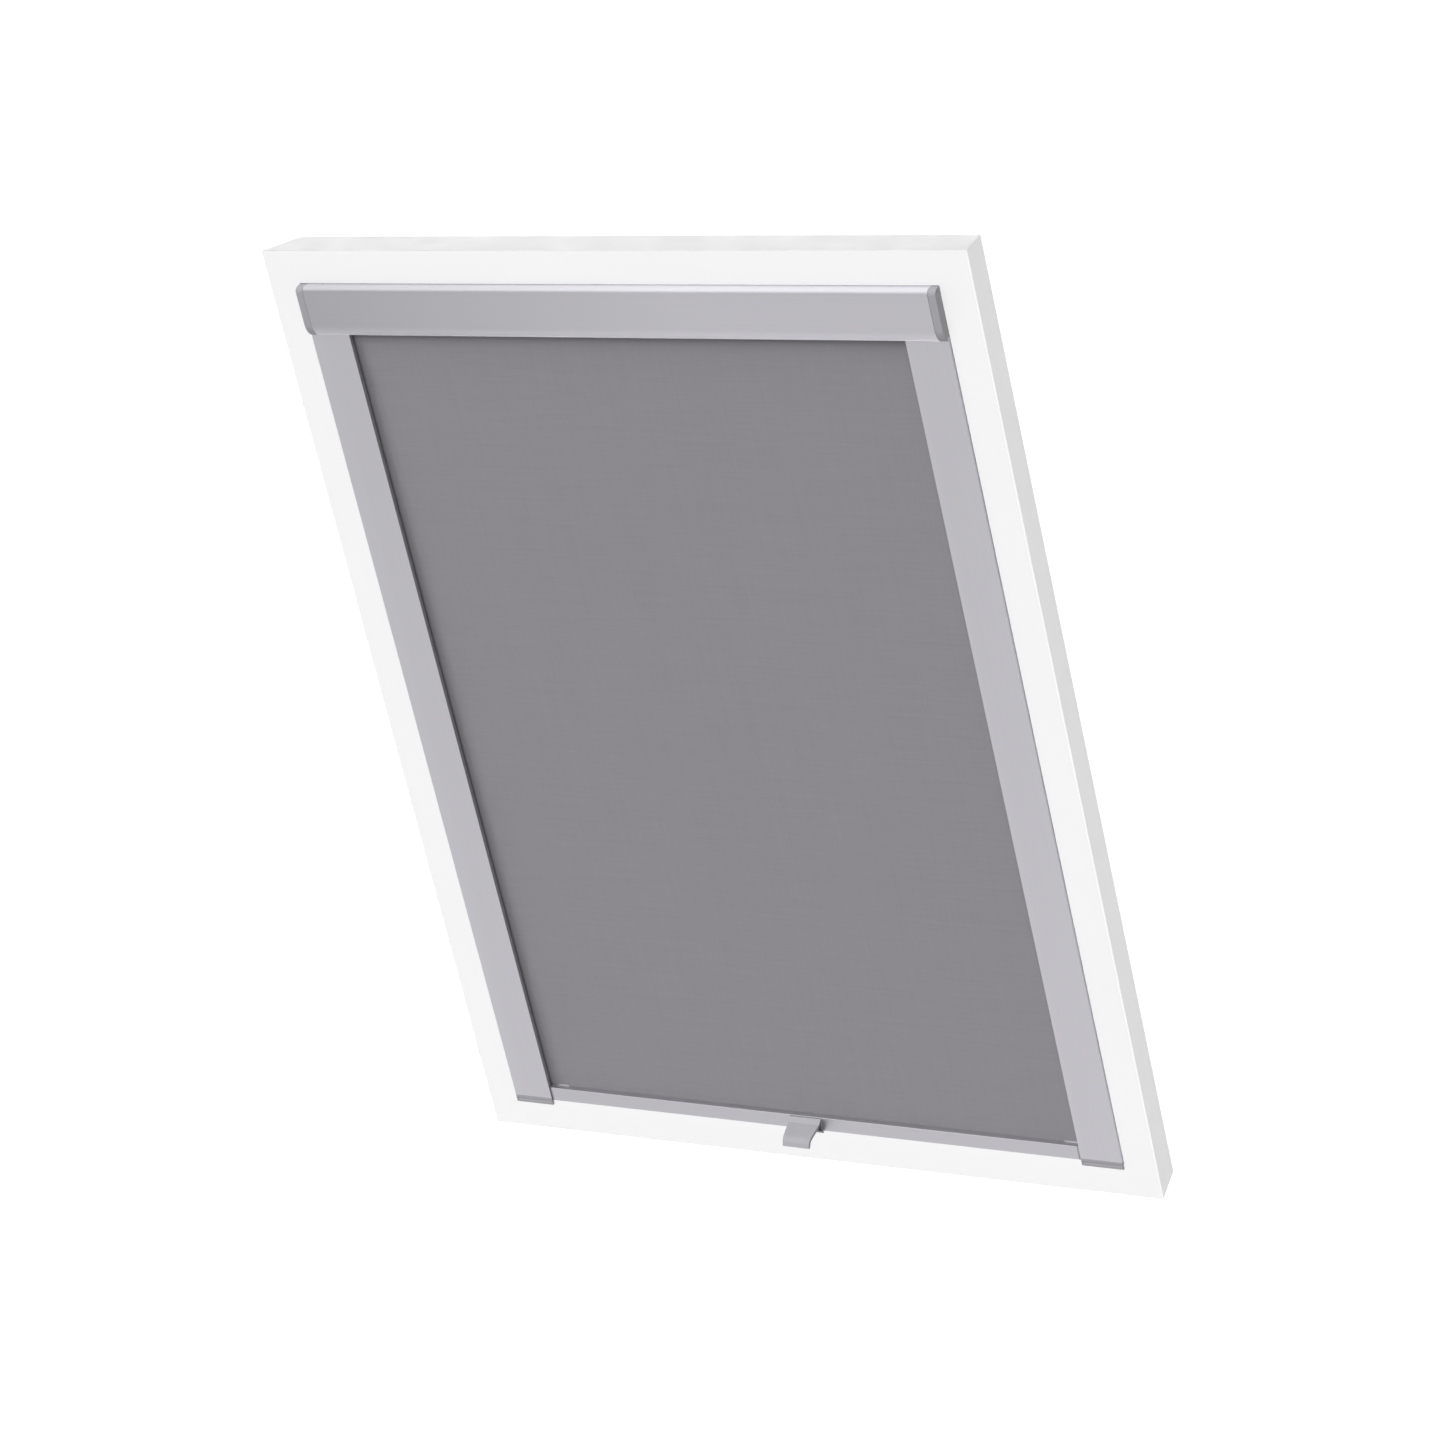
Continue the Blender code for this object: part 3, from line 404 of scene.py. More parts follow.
def mergedCopy(node):
    # A CAD part's loose triangles, merged and cleaned of the edges inside its flat faces.
    bm = bmesh.new()
    bm.from_mesh(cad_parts[node].data)
    bmesh.ops.remove_doubles(bm, verts=bm.verts, dist=meshSizes["cadMerge"])
    bmesh.ops.dissolve_limit(bm, angle_limit=meshSizes["flatAngle"], verts=bm.verts, edges=bm.edges)
    return bm


def mirrored(bm):
    bmesh.ops.scale(bm, vec=(-1, 1, 1), verts=bm.verts)  # addPiece turns the faces out again
    return bm


def addPiece(name, bm, finish, body, *nodes, even=True, merge=meshSizes["merge"]):
    bmesh.ops.remove_doubles(bm, verts=bm.verts, dist=merge)
    bmesh.ops.recalc_face_normals(bm, faces=bm.faces)
    mesh = bpy.data.meshes.new(name)
    bm.to_mesh(mesh)
    bm.free()
    mesh.shade_smooth()
    mesh.set_sharp_from_angle(angle=meshSizes["smoothAngle"])
    mesh.materials.append(finishes[finish][0])
    piece = bpy.data.objects.new(name, mesh)
    bpy.context.scene.collection.objects.link(piece)
    if even:
        piece.modifiers.new("evenShading", "WEIGHTED_NORMAL").keep_sharp = True
    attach(piece, body)
    if nodes:
        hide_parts(*nodes)
    return piece


# Window frame. Edges are rounded that are longer than stileRun, apart from those at a stile's inner
# face, and on the rails those longer than railRun.
frameSizes = {"edgeRadius": 0.9 * mm, "jointGap": 0.03 * mm, "stileRun": 20.5 * mm, "inside": 1 * mm,
              "railRun": 500 * mm}
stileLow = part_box("frame_right_stile")[0]  # the inner front corner of the right stile


def frameMembers():
    inner = stileLow.x
    for sideName, side in sides:
        bm = mergedCopy(f"frame_{sideName}_stile")
        edges = sharpEdges(bm, lambda edge: edge.calc_length() > frameSizes["stileRun"]
                           and any(abs(v.co.x) > inner + frameSizes["inside"] for v in edge.verts))
        roundEdges(bm, edges, frameSizes["edgeRadius"])
        addPiece(f"windowStile_{sideName}", bm, "lacquer", staticBody, f"frame_{sideName}_stile")
    for label in ("top", "bottom"):
        bm = mergedCopy(f"frame_{label}_rail")
        shoulder = inner - seatGap
        for vert in bm.verts:  # the shoulders close up to a painted-over joint
            if abs(abs(vert.co.x) - shoulder) < near:
                vert.co.x = math.copysign(inner - frameSizes["jointGap"], vert.co.x)
        edges = sharpEdges(bm, lambda edge: edge.calc_length() > frameSizes["railRun"])
        roundEdges(bm, edges, frameSizes["edgeRadius"])
        addPiece(f"windowRail_{label}", bm, "lacquer", staticBody, f"frame_{label}_rail")


frameMembers()
print("window frame done")


# Side rails with their brushes and feet
railSizes = {"wall": 1.6 * mm, "lip": 5.0 * mm, "lipWall": 1.4 * mm, "edgeRadius": 0.8 * mm,
             "lipRadius": 0.35 * mm, "screwHead": 3.4 * mm, "screwShank": 1.9 * mm, "cutPast": 1 * mm}


def sideRail(sideName, side):
    low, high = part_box(f"side_rail_{sideName}")
    outer, inner = max(abs(low.x), abs(high.x)), min(abs(low.x), abs(high.x))
    front, back = low.y, high.y
    wall, lip, past = railSizes["wall"], railSizes["lip"], railSizes["cutPast"]
    lipInside = inner + railSizes["lipWall"]
    edge, small = railSizes["edgeRadius"], railSizes["lipRadius"]
    corners = [(outer, front, edge, 4), (inner, front, edge, 5), (inner, front + lip, small),
               (lipInside, front + lip, small), (lipInside, front + wall, small),
               (outer - wall, front + wall, small), (outer - wall, back - wall, small),
               (lipInside, back - wall, small), (lipInside, back - lip, small),
               (inner, back - lip, small), (inner, back, small), (outer, back, small)]
    corners = [(side * corner[0], *corner[1:]) for corner in corners]
    bm = drawnOut(corners, low.z, high.z, "Z")
    head, shank = railSizes["screwHead"], railSizes["screwShank"]
    profile = [(outer - wall - past, 0), (outer - wall - past, head), (outer - wall, head),
               (outer, shank), (outer + past, shank), (outer + past, 0)]
    holes = []
    for index in (1, 2, 3):
        screwLow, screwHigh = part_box(f"rail_screw_{sideName}_{index}")
        centre = (screwLow + screwHigh) / 2
        turnedBy = [(side * x, radius) for x, radius in profile]
        holes.append(turned(turnedBy, centre.y, centre.z, holeSteps))
    bm = boolean(bm, together(holes), "DIFFERENCE")
    addPiece(f"sideRail_{sideName}", bm, "silverUpright", staticBody, f"side_rail_{sideName}")


# A tuft leans by up to that many radians, and is cut short by up to that share of its height.
tuftSizes = {"pitch": 1.5 * mm, "root": 0.85 * mm, "tip": 0.3 * mm, "lean": 0.12, "short": 0.12,
             "run": 40}


def tuft(bm, spot, height, fan=0):
    # One tuft along Y, leaning and cut a little differently from the next.
    height *= 1 - random.random() * tuftSizes["short"]
    turn = Matrix.Rotation(-math.copysign(math.pi / 2, height), 4, "X")
    lean = Matrix.Rotation(random.uniform(-1, 1) * tuftSizes["lean"] + fan, 4, "Y")
    lean = lean @ Matrix.Rotation(random.uniform(-1, 1) * tuftSizes["lean"] / 2, 4, "X")
    grow = Matrix.Translation((0, 0, abs(height) / 2))
    bmesh.ops.create_cone(bm, cap_ends=True, segments=5, radius1=tuftSizes["root"],
                          radius2=tuftSizes["tip"], depth=abs(height),
                          matrix=Matrix.Translation(spot) @ turn @ lean @ grow)


def tufts(start, end, rows, rootAt, tipAt, runs, fans=(0, 0, 0)):
    # Rows of tufts along X or Z, every other one half a pitch on. Short runs are made much quicker.
    shapes = []
    count = int((end - start) / tuftSizes["pitch"])
    for row, across in enumerate(rows):
        for index in range(count):
            if index % tuftSizes["run"] == 0:
                shapes.append(bmesh.new())
            along = start + (end - start) * (index + 0.25 + 0.5 * (row % 2)) / count
            spot = (along, rootAt, across) if runs == "X" else (across, rootAt, along)
            tuft(shapes[-1], spot, tipAt - rootAt, fans[row])
    return together(shapes)


# The rows stand that far inside the rail's mouth, and those nearest to it fan out under its lip.
brushSizes = {"base": 1.0 * mm, "baseRadius": 0.2 * mm, "coreShare": 0.45, "coreHalf": 1.5 * mm,
              "coreRadius": 0.15 * mm, "end": 1 * mm, "rows": (0.5 * mm, 1.4 * mm, 2.3 * mm, 3.2 * mm),
              "fans": (0.30, 0.12, 0, 0)}


def railBrush(sideName, side, label):
    node = f"rail_brush_{label}_{sideName}"
    low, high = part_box(node)
    outward = -1 if label == "back" else 1  # which way the pile points along Y
    root = high.y if label == "back" else low.y
    tip = low.y if label == "back" else high.y
    baseTop = root + outward * brushSizes["base"]
    base = block((low.x, min(root, baseTop), low.z), (high.x, max(root, baseTop), high.z),
                 brushSizes["baseRadius"])
    middle = (low.x + high.x) / 2
    coreRoot = baseTop - outward * brushSizes["baseRadius"]
    coreTip = baseTop + outward * (abs(tip - baseTop) * brushSizes["coreShare"])
    core = block((middle - brushSizes["coreHalf"], min(coreRoot, coreTip), low.z),
                 (middle + brushSizes["coreHalf"], max(coreRoot, coreTip), high.z),
                 brushSizes["coreRadius"])
    mouth = side * min(abs(low.x), abs(high.x))
    rows = [mouth + side * step for step in brushSizes["rows"]]
    fans = [-side * lean for lean in brushSizes["fans"]]
    hairs = tufts(low.z + brushSizes["end"], high.z - brushSizes["end"], rows, baseTop, tip, "Z", fans)
    addPiece(f"railBrush_{label}_{sideName}", together([base, core, hairs]), "pile", staticBody, node,
             even=False, merge=meshSizes["hairMerge"])


footSizes = {"plate": 2.7 * mm, "lipEdge": 1.3 * mm, "edge": 0.4 * mm, "rim": 1.7 * mm,
             "groove": 0.35 * mm, "recess": 0.6 * mm, "endRadius": 0.7 * mm, "plugMargin": 1.9 * mm,
             "brushMargin": 1.6 * mm, "plugSunk": 1 * mm, "plugRadius": 0.3 * mm}


def railFoot(sideName, side):
    node = f"rail_foot_{sideName}"
    low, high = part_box(node)
    inner, outer = sorted((abs(low.x), abs(high.x)))
    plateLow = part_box("frame_bottom_rail")[1].z + seatGap
    plateTop = plateLow + footSizes["plate"]
    lipBack = stileLow.y - seatGap
    edge = footSizes["edge"]
    corners = [(low.y, low.z, footSizes["lipEdge"], 5), (lipBack, low.z, edge), (lipBack, plateLow),
               (high.y, plateLow, edge), (high.y, plateTop, edge), (low.y, plateTop, edge)]
    bm = drawnOut(corners, inner, outer, "X")
    frontFace = [face for face in bm.faces if face.normal.y < -0.99]
    bmesh.ops.inset_region(bm, faces=frontFace, thickness=footSizes["rim"], depth=0.0,
                           use_even_offset=True)
    bmesh.ops.inset_region(bm, faces=frontFace, thickness=footSizes["groove"],
                           depth=-footSizes["recess"], use_even_offset=True)

    def isEnd(edge):
        first, second = edge.verts[0].co.x, edge.verts[1].co.x
        return abs(first - second) < near and min(abs(first - inner), abs(first - outer)) < near

    roundEdges(bm, sharpEdges(bm, isEnd), footSizes["endRadius"], 3)
    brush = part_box(f"rail_brush_front_{sideName}")
    margin = footSizes["plugMargin"]
    plugInner = max(abs(brush[0].x), abs(brush[1].x)) + footSizes["brushMargin"]
    plug = block((plugInner, low.y + margin, plateTop - footSizes["plugSunk"]),
                 (outer - margin, high.y - margin, high.z), footSizes["plugRadius"])
    bm = boolean(bm, plug, "UNION")
    if side < 0:
        bm = mirrored(bm)
    addPiece(f"railFoot_{sideName}", bm, "capPlastic", staticBody, node)


for sideName, side in sides:
    sideRail(sideName, side)
    railBrush(sideName, side, "front")
    railBrush(sideName, side, "back")
    railFoot(sideName, side)
print("side rails done")


# Cassette. Its cover and its end caps share the rounded front that the next values give.
coverSizes = {"wall": 1.4 * mm, "topRadius": 6.0 * mm, "bottomRadius": 15 * mm, "hem": 5.5 * mm,
              "hook": 4.3 * mm, "backRadius": 0.6 * mm, "small": 0.3 * mm,
              "outerShare": 0.985, "innerShare": 0.6}
coverLow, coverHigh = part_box("cassette_front_cover")
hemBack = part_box("side_rail_right")[0].y - seatGap
arcFront = coverLow.y + coverSizes["bottomRadius"]
hemTurn = math.acos((arcFront - hemBack) / coverSizes["bottomRadius"])
hemCorner = coverLow.z + coverSizes["bottomRadius"] * (math.sin(hemTurn) - math.tan(hemTurn / 2))


def frontCurve(inset, topSteps=6, lowSteps=18):
    # The two rounded corners of the cover's front, drawn at a distance inside its outer face.
    front, top = coverLow.y + inset, coverHigh.z - inset
    rounding = max(coverSizes["topRadius"] - inset, coverSizes["small"])
    lowCorner = hemCorner + inset * math.tan(hemTurn / 2)
    # The outer face takes nearly the full radius. Inside it is less, for room beside the next corners.
    share = coverSizes["outerShare"] if inset == 0 else coverSizes["innerShare"]
    return [(front, top, rounding, topSteps),
            (front, lowCorner, (coverSizes["bottomRadius"] - inset) * share, lowSteps)]


def hemPoint(inset, y):
    # Where the lower slope of the front curve reaches that depth.
    lowCorner = hemCorner + inset * math.tan(hemTurn / 2)
    return y, lowCorner - (y - coverLow.y - inset) / math.tan(hemTurn)


def frontCover():
    wall, small = coverSizes["wall"], coverSizes["small"]
    top, back = coverHigh.z, coverHigh.y
    hemLow = hemPoint(0, hemBack)
    hemTop = hemLow[1] + coverSizes["hem"]
    hookLow = top - wall - coverSizes["hook"]
    corners = [(back, top, coverSizes["backRadius"], 3), *frontCurve(0), hemLow,
               (hemBack, hemTop, small), (hemBack - wall, hemTop, small),
               hemPoint(wall, hemBack - wall), *reversed(frontCurve(wall, 4, 8)),
               (back - wall, top - wall), (back - wall, hookLow, small), (back, hookLow, small)]
    bm = drawnOut(corners, coverLow.x, coverHigh.x, "X")
    addPiece("cassetteCover", bm, "silverCover", staticBody, "cassette_front_cover")


plateSizes = {"lip": 5 * mm, "edge": 0.35 * mm}


def backPlate():
    low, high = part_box("cassette_back_plate")
    wall, edge = coverSizes["wall"], plateSizes["edge"]
    lipTop = low.z + plateSizes["lip"]
    corners = [(high.y, high.z, edge), (high.y - wall, high.z, edge), (high.y - wall, low.z + wall, edge),
               (low.y + wall, low.z + wall, edge), (low.y + wall, lipTop, edge), (low.y, lipTop, edge),
               (low.y, low.z, edge), (high.y, low.z, edge)]
    addPiece("cassetteBack", drawnOut(corners, low.x, high.x, "X"), "silverAcross", staticBody,
             "cassette_back_plate")


sealSizes = {"carrier": 1.2 * mm, "carrierRadius": 0.25 * mm, "root": 1 * mm, "core": 3.6 * mm,
             "coreMargin": 0.4 * mm, "coreRadius": 0.2 * mm, "end": 1 * mm, "rows": (0.26, 0.5, 0.74)}


def brushSeal():
    low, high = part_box("cassette_brush_seal")
    margin, root = sealSizes["coreMargin"], low.y + sealSizes["root"]
    carrier = block((low.x, low.y, low.z), (high.x, low.y + sealSizes["carrier"], high.z),
                    sealSizes["carrierRadius"])
    core = block((low.x, root, low.z + margin), (high.x, low.y + sealSizes["core"], high.z - margin),
                 sealSizes["coreRadius"])
    rows = [low.z + share * (high.z - low.z) for share in sealSizes["rows"]]
    hairs = tufts(low.x + sealSizes["end"], high.x - sealSizes["end"], rows, root, high.y, "X")
    addPiece("cassetteSeal", together([carrier, core, hairs]), "pile", staticBody, "cassette_brush_seal",
             even=False, merge=meshSizes["hairMerge"])


capSizes = {"edge": 2.6 * mm, "backRadius": 0.5 * mm, "overlap": 1 * mm, "small": 0.3 * mm,
            "rimWall": 2.0 * mm, "rimReach": 5 * mm, "rimHook": 2.3 * mm,
            "boss": 8 * mm, "bossReach": 3.2 * mm, "bossEdge": 0.4 * mm,
            "ribWall": 2.3 * mm, "ribReach": 8 * mm, "ribHook": 1 * mm,
            "prongWidth": 6 * mm, "prongWall": 2.6 * mm, "prongDrop": 12 * mm,
            "socket": 3.3 * mm, "socketStart": 5 * mm, "socketDepth": 4.3 * mm,
            "screwHole": 1.9 * mm, "screwPast": 2 * mm}


def rollerLine():
    low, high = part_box("roller_tube")
    centre = (low + high) / 2
    return centre.y, centre.z


def capShell(inner, outer, capLow, back):
    # The visible shell, with the cover's outline and a round outer edge.
    corners = [(back, capLow, capSizes["backRadius"], 2), (back, coverHigh.z, capSizes["backRadius"], 2),
               (stileLow.y, coverHigh.z), *frontCurve(0), hemPoint(0, hemBack), (hemBack, capLow)]
    bm = drawnOut(corners, inner, outer, "X")

    def shows(edge):
        return (all(abs(v.co.x - outer) < near and v.co.y < stileLow.y + near for v in edge.verts)
                and not all(v.co.y > hemBack - near and v.co.z < capLow + near for v in edge.verts))

    roundEdges(bm, [edge for edge in bm.edges if shows(edge)], capSizes["edge"], 6)
    return bm


def capRim(inner):
    # The rim that the cover slides over.
    gap = coverSizes["wall"] + seatGap
    deep = gap + capSizes["rimWall"]
    reach = coverHigh.y - coverSizes["wall"] - capSizes["rimHook"]
    end = coverLow.z + coverSizes["bottomRadius"] * math.sin(hemTurn)
    corners = [(reach, coverHigh.z - gap), frontCurve(gap, 4)[0], (coverLow.y + gap, end),
               (coverLow.y + deep, end), frontCurve(deep, 4)[0], (reach, coverHigh.z - deep)]
    return drawnOut(corners, inner - capSizes["rimReach"], inner + capSizes["overlap"], "X")


def capBoss(inner, y, z):
    # The boss that holds the roller's arbor or pin.
    root, tip = inner + capSizes["overlap"], inner - capSizes["bossReach"]
    return turned([(root, 0), (root, capSizes["boss"]), (tip + capSizes["bossEdge"], capSizes["boss"]),
                   (tip, capSizes["boss"] - capSizes["bossEdge"]), (tip, 0)], y, z)


def capRib(inner):
    # The rib that the back plate slides over.
    plateLow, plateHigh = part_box("cassette_back_plate")
    wall = coverSizes["wall"]
    back = plateHigh.y - wall - seatGap
    top = coverHigh.z - wall - coverSizes["hook"] - capSizes["ribHook"]
    return block((inner - capSizes["ribReach"], back - capSizes["ribWall"], plateLow.z + wall + seatGap),
                 (inner + capSizes["overlap"], back, top), capSizes["small"])


def capProngs(outer, railTop, capLow):
    # Two prongs that reach down into the side rail.
    railLow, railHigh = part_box("side_rail_right")
    width, wall = capSizes["prongWidth"], capSizes["prongWall"]
    right = outer - railSizes["wall"] - seatGap
    starts = (railLow.y + railSizes["wall"] + seatGap, railHigh.y - railSizes["wall"] - seatGap - wall)
    return [block((right - width, start, railTop - capSizes["prongDrop"]),
                  (right, start + wall, capLow + capSizes["overlap"]), capSizes["small"])
            for start in starts]


def capHoles(sideName, inner, outer, y, z):
    # A square socket for the spring's arbor on the left, a round one for the pin on the right.
    half = capSizes["socket"]
    start, end = inner - capSizes["socketStart"], inner + capSizes["socketDepth"]
    if sideName == "left":
        holes = [block((start, y - half, z - half), (end, y + half, z + half))]
    else:
        holes = [turned([(start, 0), (start, half), (end, half), (end, 0)], y, z)]
    radius, past = capSizes["screwHole"], capSizes["screwPast"]
    for index in (1, 2):
        screwLow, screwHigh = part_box(f"cap_screw_{sideName}_{index}")
        centre = (screwLow + screwHigh) / 2
        holes.append(turned([(inner - past, 0), (inner - past, radius), (outer + past, radius),
                             (outer + past, 0)], centre.y, centre.z, holeSteps))
    return holes


def endCap(sideName, side):
    # Both caps are made on the right, and the left one is mirrored.
    node = f"cassette_end_cap_{sideName}"
    low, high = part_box(node)
    outer, inner = max(abs(low.x), abs(high.x)), coverHigh.x + seatGap
    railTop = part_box("side_rail_right")[1].z
    capLow = railTop + seatGap
    y, z = rollerLine()
    bm = capShell(inner, outer, capLow, high.y)
    bm = boolean(bm, together([capRim(inner), capBoss(inner, y, z), capRib(inner),
                               *capProngs(outer, railTop, capLow)]), "UNION")
    bm = boolean(bm, together(capHoles(sideName, inner, outer, y, z)), "DIFFERENCE")
    if side < 0:
        bm = mirrored(bm)
    addPiece(f"cassetteCap_{sideName}", bm, "capPlastic", staticBody, node)


frontCover()
backPlate()
brushSeal()
for sideName, side in sides:
    endCap(sideName, side)
print("cassette done")


# Roller
rollSizes = {"layers": 4, "stagger": 0.25 * mm, "tubeGap": 0.05 * mm, "edge": 0.4 * mm,
             "edgeShare": 0.1, "layerShare": 0.86, "steps": 64}


def fabricRoll():
    low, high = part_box("fabric_roll")
    y, z = rollerLine()
    outer, inner = (high.z - low.z) / 2, (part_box("roller_tube")[1].z - z) + rollSizes["tubeGap"]
    layer = (outer - inner) / rollSizes["layers"]
    right = []
    for index in range(rollSizes["layers"]):
        end = high.x - random.random() * rollSizes["stagger"]
        rounded = end - rollSizes["edge"]
        bottom, top = inner + layer * index, inner + layer * (index + rollSizes["layerShare"])
        edge = bottom + rollSizes["edgeShare"] * layer
        right += [(rounded, bottom), (end, edge), (end, top), (rounded, top)]
    right[-1] = (right[-1][0], outer)
    profile = right + [(-x, radius) for x, radius in reversed(right)]
    profile.append(profile[0])
    addPiece("clothRoll", turned(profile, y, z, rollSizes["steps"]), "cloth", rollerBody, "fabric_roll")


fabricRoll()
print("roller done")


# Bottom bar with its handle and guides
barSizes = {"wall": 1.2 * mm, "edgeRadius": 0.6 * mm, "small": 0.25 * mm, "slot": 0.5 * mm,
            "pegRadius": 1.4 * mm, "pegSpacing": 20 * mm, "cutPast": 1 * mm}
pegPlaces = (-barSizes["pegSpacing"] / 2, barSizes["pegSpacing"] / 2)


def peg(x, front, back, radius, z):
    bm = bmesh.new()
    bmesh.ops.create_cone(bm, cap_ends=True, segments=holeSteps, radius1=radius, radius2=radius,
                          depth=back - front)
    bmesh.ops.rotate(bm, verts=bm.verts, cent=(0, 0, 0), matrix=Matrix.Rotation(math.pi / 2, 3, "X"))
    bmesh.ops.translate(bm, verts=bm.verts, vec=(x, (front + back) / 2, z))
    return bm


def bottomBar():
    low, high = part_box("bottom_bar")
    wall, edge, small = barSizes["wall"], barSizes["edgeRadius"], barSizes["small"]
    slotFront = (low.y + high.y - barSizes["slot"]) / 2
    slotBack = slotFront + barSizes["slot"]
    corners = [(slotFront, high.z, small, 2), (low.y, high.z, edge, 6), (low.y, low.z, edge, 6),
               (high.y, low.z, edge, 6), (high.y, high.z, edge, 6), (slotBack, high.z, small, 2),
               (slotBack, high.z - wall), (high.y - wall, high.z - wall, small),
               (high.y - wall, low.z + wall, small), (low.y + wall, low.z + wall, small),
               (low.y + wall, high.z - wall, small), (slotFront, high.z - wall)]
    bm = drawnOut(corners, low.x, high.x, "X")
    middle = (low.z + high.z) / 2
    front, radius = low.y - barSizes["cutPast"], barSizes["pegRadius"] + seatGap
    holes = [peg(x, front, low.y + 2 * wall, radius, middle) for x in pegPlaces]
    bm = boolean(bm, together(holes), "DIFFERENCE")
    addPiece("bottomBar", bm, "silverAcross", barBody, "bottom_bar")


handleSizes = {"rootWidth": 37 * mm, "tipWidth": 30.4 * mm, "wall": 1.4 * mm, "blade": 2.6 * mm,
               "gap": seatGap, "top": 6.7 * mm, "foot": -10 * mm,
               "creaseReach": 5.5 * mm, "creaseDrop": 4.4 * mm, "creaseDepth": 0.35 * mm,
               "creaseHalf": 0.6 * mm, "slope": math.radians(21), "endSlope": math.radians(65),
               "bladeReach": 20.5 * mm, "bladeRadius": 10 * mm, "tipLength": 3.8 * mm,
               "webReach": 10.5 * mm, "edge": 0.45 * mm, "rimAngle": math.radians(70),
               "hollowRadius": 0.35 * mm,
               "rootRadius": 0.4 * mm, "footRadius": 0.6 * mm, "webRadius": 1.0 * mm,
               "tipRadii": (0.9 * mm, 0.8 * mm), "outerShare": 0.99, "innerShare": 0.97,
               "pegSunk": 1.5 * mm, "pegRodGap": 0.8 * mm}


def lineHeight(point, along, reach, offset):
    # The height at that reach of a line through a point, moved square to itself.
    return point.y + along.y / along.x * (reach - point.x) + offset / along.x


def handleSection():
    # The outline and the hollow, seen from the end: reach before the bar, height over its middle.
    sizes = handleSizes
    blade, radius, wall = sizes["blade"], sizes["bladeRadius"], sizes["wall"]
    slope = Vector((math.cos(sizes["slope"]), -math.sin(sizes["slope"])))
    drop = Vector((math.cos(sizes["endSlope"]), -math.sin(sizes["endSlope"])))
    down, back = Vector((slope.y, -slope.x)), Vector((drop.y, -drop.x))  # square to blade and tip
    root, foot = Vector((sizes["gap"], sizes["top"])), Vector((sizes["gap"], sizes["foot"]))
    crease = Vector((sizes["creaseReach"], sizes["top"] - sizes["creaseDrop"]))
    shoulder = (crease - root).normalized()
    bend = crease + slope * (sizes["bladeReach"] - sizes["creaseReach"]) / slope.x
    turn = math.tan((sizes["endSlope"] - sizes["slope"]) / 2)
    outer = bend + slope * radius * turn
    tip = outer + drop * (radius * turn + sizes["tipLength"])
    inner = bend + down * blade + slope * (radius - blade) * turn
    under = crease + down * blade
    under += slope * (sizes["webReach"] - under.x) / slope.x
    outline = [(*root, sizes["rootRadius"], 3), tuple(crease - shoulder * sizes["creaseHalf"]),
               (crease.x, crease.y - sizes["creaseDepth"]), tuple(crease + slope * sizes["creaseHalf"]),
               (*outer, radius * sizes["outerShare"], 14), (*tip, sizes["tipRadii"][0], 6),
               (*(tip + back * blade), sizes["tipRadii"][1], 4),
               (*inner, (radius - blade) * sizes["innerShare"], 12), (*under, sizes["webRadius"], 3),
               (*foot, sizes["footRadius"], 3)]
    web = (under - foot).normalized()
    start, end = sizes["gap"] + wall, sizes["webReach"] - 2 * wall
    hollow = [(start, lineHeight(crease, shoulder, start, -wall)),
              (crease.x, lineHeight(crease, slope, crease.x, -blade)),
              (end, lineHeight(crease, slope, end, -blade)), (end, lineHeight(under, web, end, wall)),
              (start, lineHeight(under, web, start, wall))]
    return outline, hollow, tip.x


def pullHandle():
    sizes = handleSizes
    barLow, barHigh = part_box("bottom_bar")
    middle, face = (barLow.z + barHigh.z) / 2, barLow.y
    outline, hollow, tipReach = handleSection()
    bm = drawnOut([(face - corner[0], middle + corner[1], *corner[2:]) for corner in outline],
                  -sizes["rootWidth"] / 2, sizes["rootWidth"] / 2, "X")
    taper = (sizes["rootWidth"] - sizes["tipWidth"]) / 2 / tipReach
    for vert in bm.verts:
        vert.co.x -= math.copysign(taper * (face - vert.co.y), vert.co.x)
    rims = sharpEdges(bm, lambda edge: edge.verts[0].co.x * edge.verts[1].co.x > 0, sizes["rimAngle"])
    roundEdges(bm, rims, sizes["edge"], 3)
    tunnel = drawnOut([(face - reach, middle + up, sizes["hollowRadius"], 2) for reach, up in hollow],
                      -sizes["rootWidth"], sizes["rootWidth"], "X")
    bm = boolean(bm, tunnel, "DIFFERENCE")
    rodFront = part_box("hem_rod")[0].y - sizes["pegRodGap"]
    pegs = [peg(x, face - sizes["pegSunk"], rodFront, barSizes["pegRadius"], middle) for x in pegPlaces]
    bm = boolean(bm, together(pegs), "UNION")
    addPiece("pullHandle", bm, "handlePlastic", barBody, "pull_handle")


def roundedCopy(name, node, finish, radius):
    bm = mergedCopy(node)
    roundEdges(bm, sharpEdges(bm, lambda edge: edge.calc_length() > 4 * radius), radius)
    addPiece(name, bm, finish, barBody, node)


bottomBar()
pullHandle()
for sideName, side in sides:
    roundedCopy(f"barGuide_{sideName}", f"bar_guide_{sideName}", "capPlastic", 0.2 * mm)
    roundedCopy(f"brakePad_{sideName}", f"brake_pad_{sideName}", "felt", 0.3 * mm)
print("bottom bar done")


# Cloth, in two pieces: the sheet that is wound up, and its hem in the bar's slot
clothSizes = {"thickness": 0.42 * mm, "grid": (96, 120), "wave": 0.10 * mm, "radiansPerMetre": 31,
              "edgeCurl": 0.12 * mm, "edgePower": 12, "aboveBar": 0.6 * mm, "seam": 0.02 * mm,
              "hemGrid": (12, 4)}


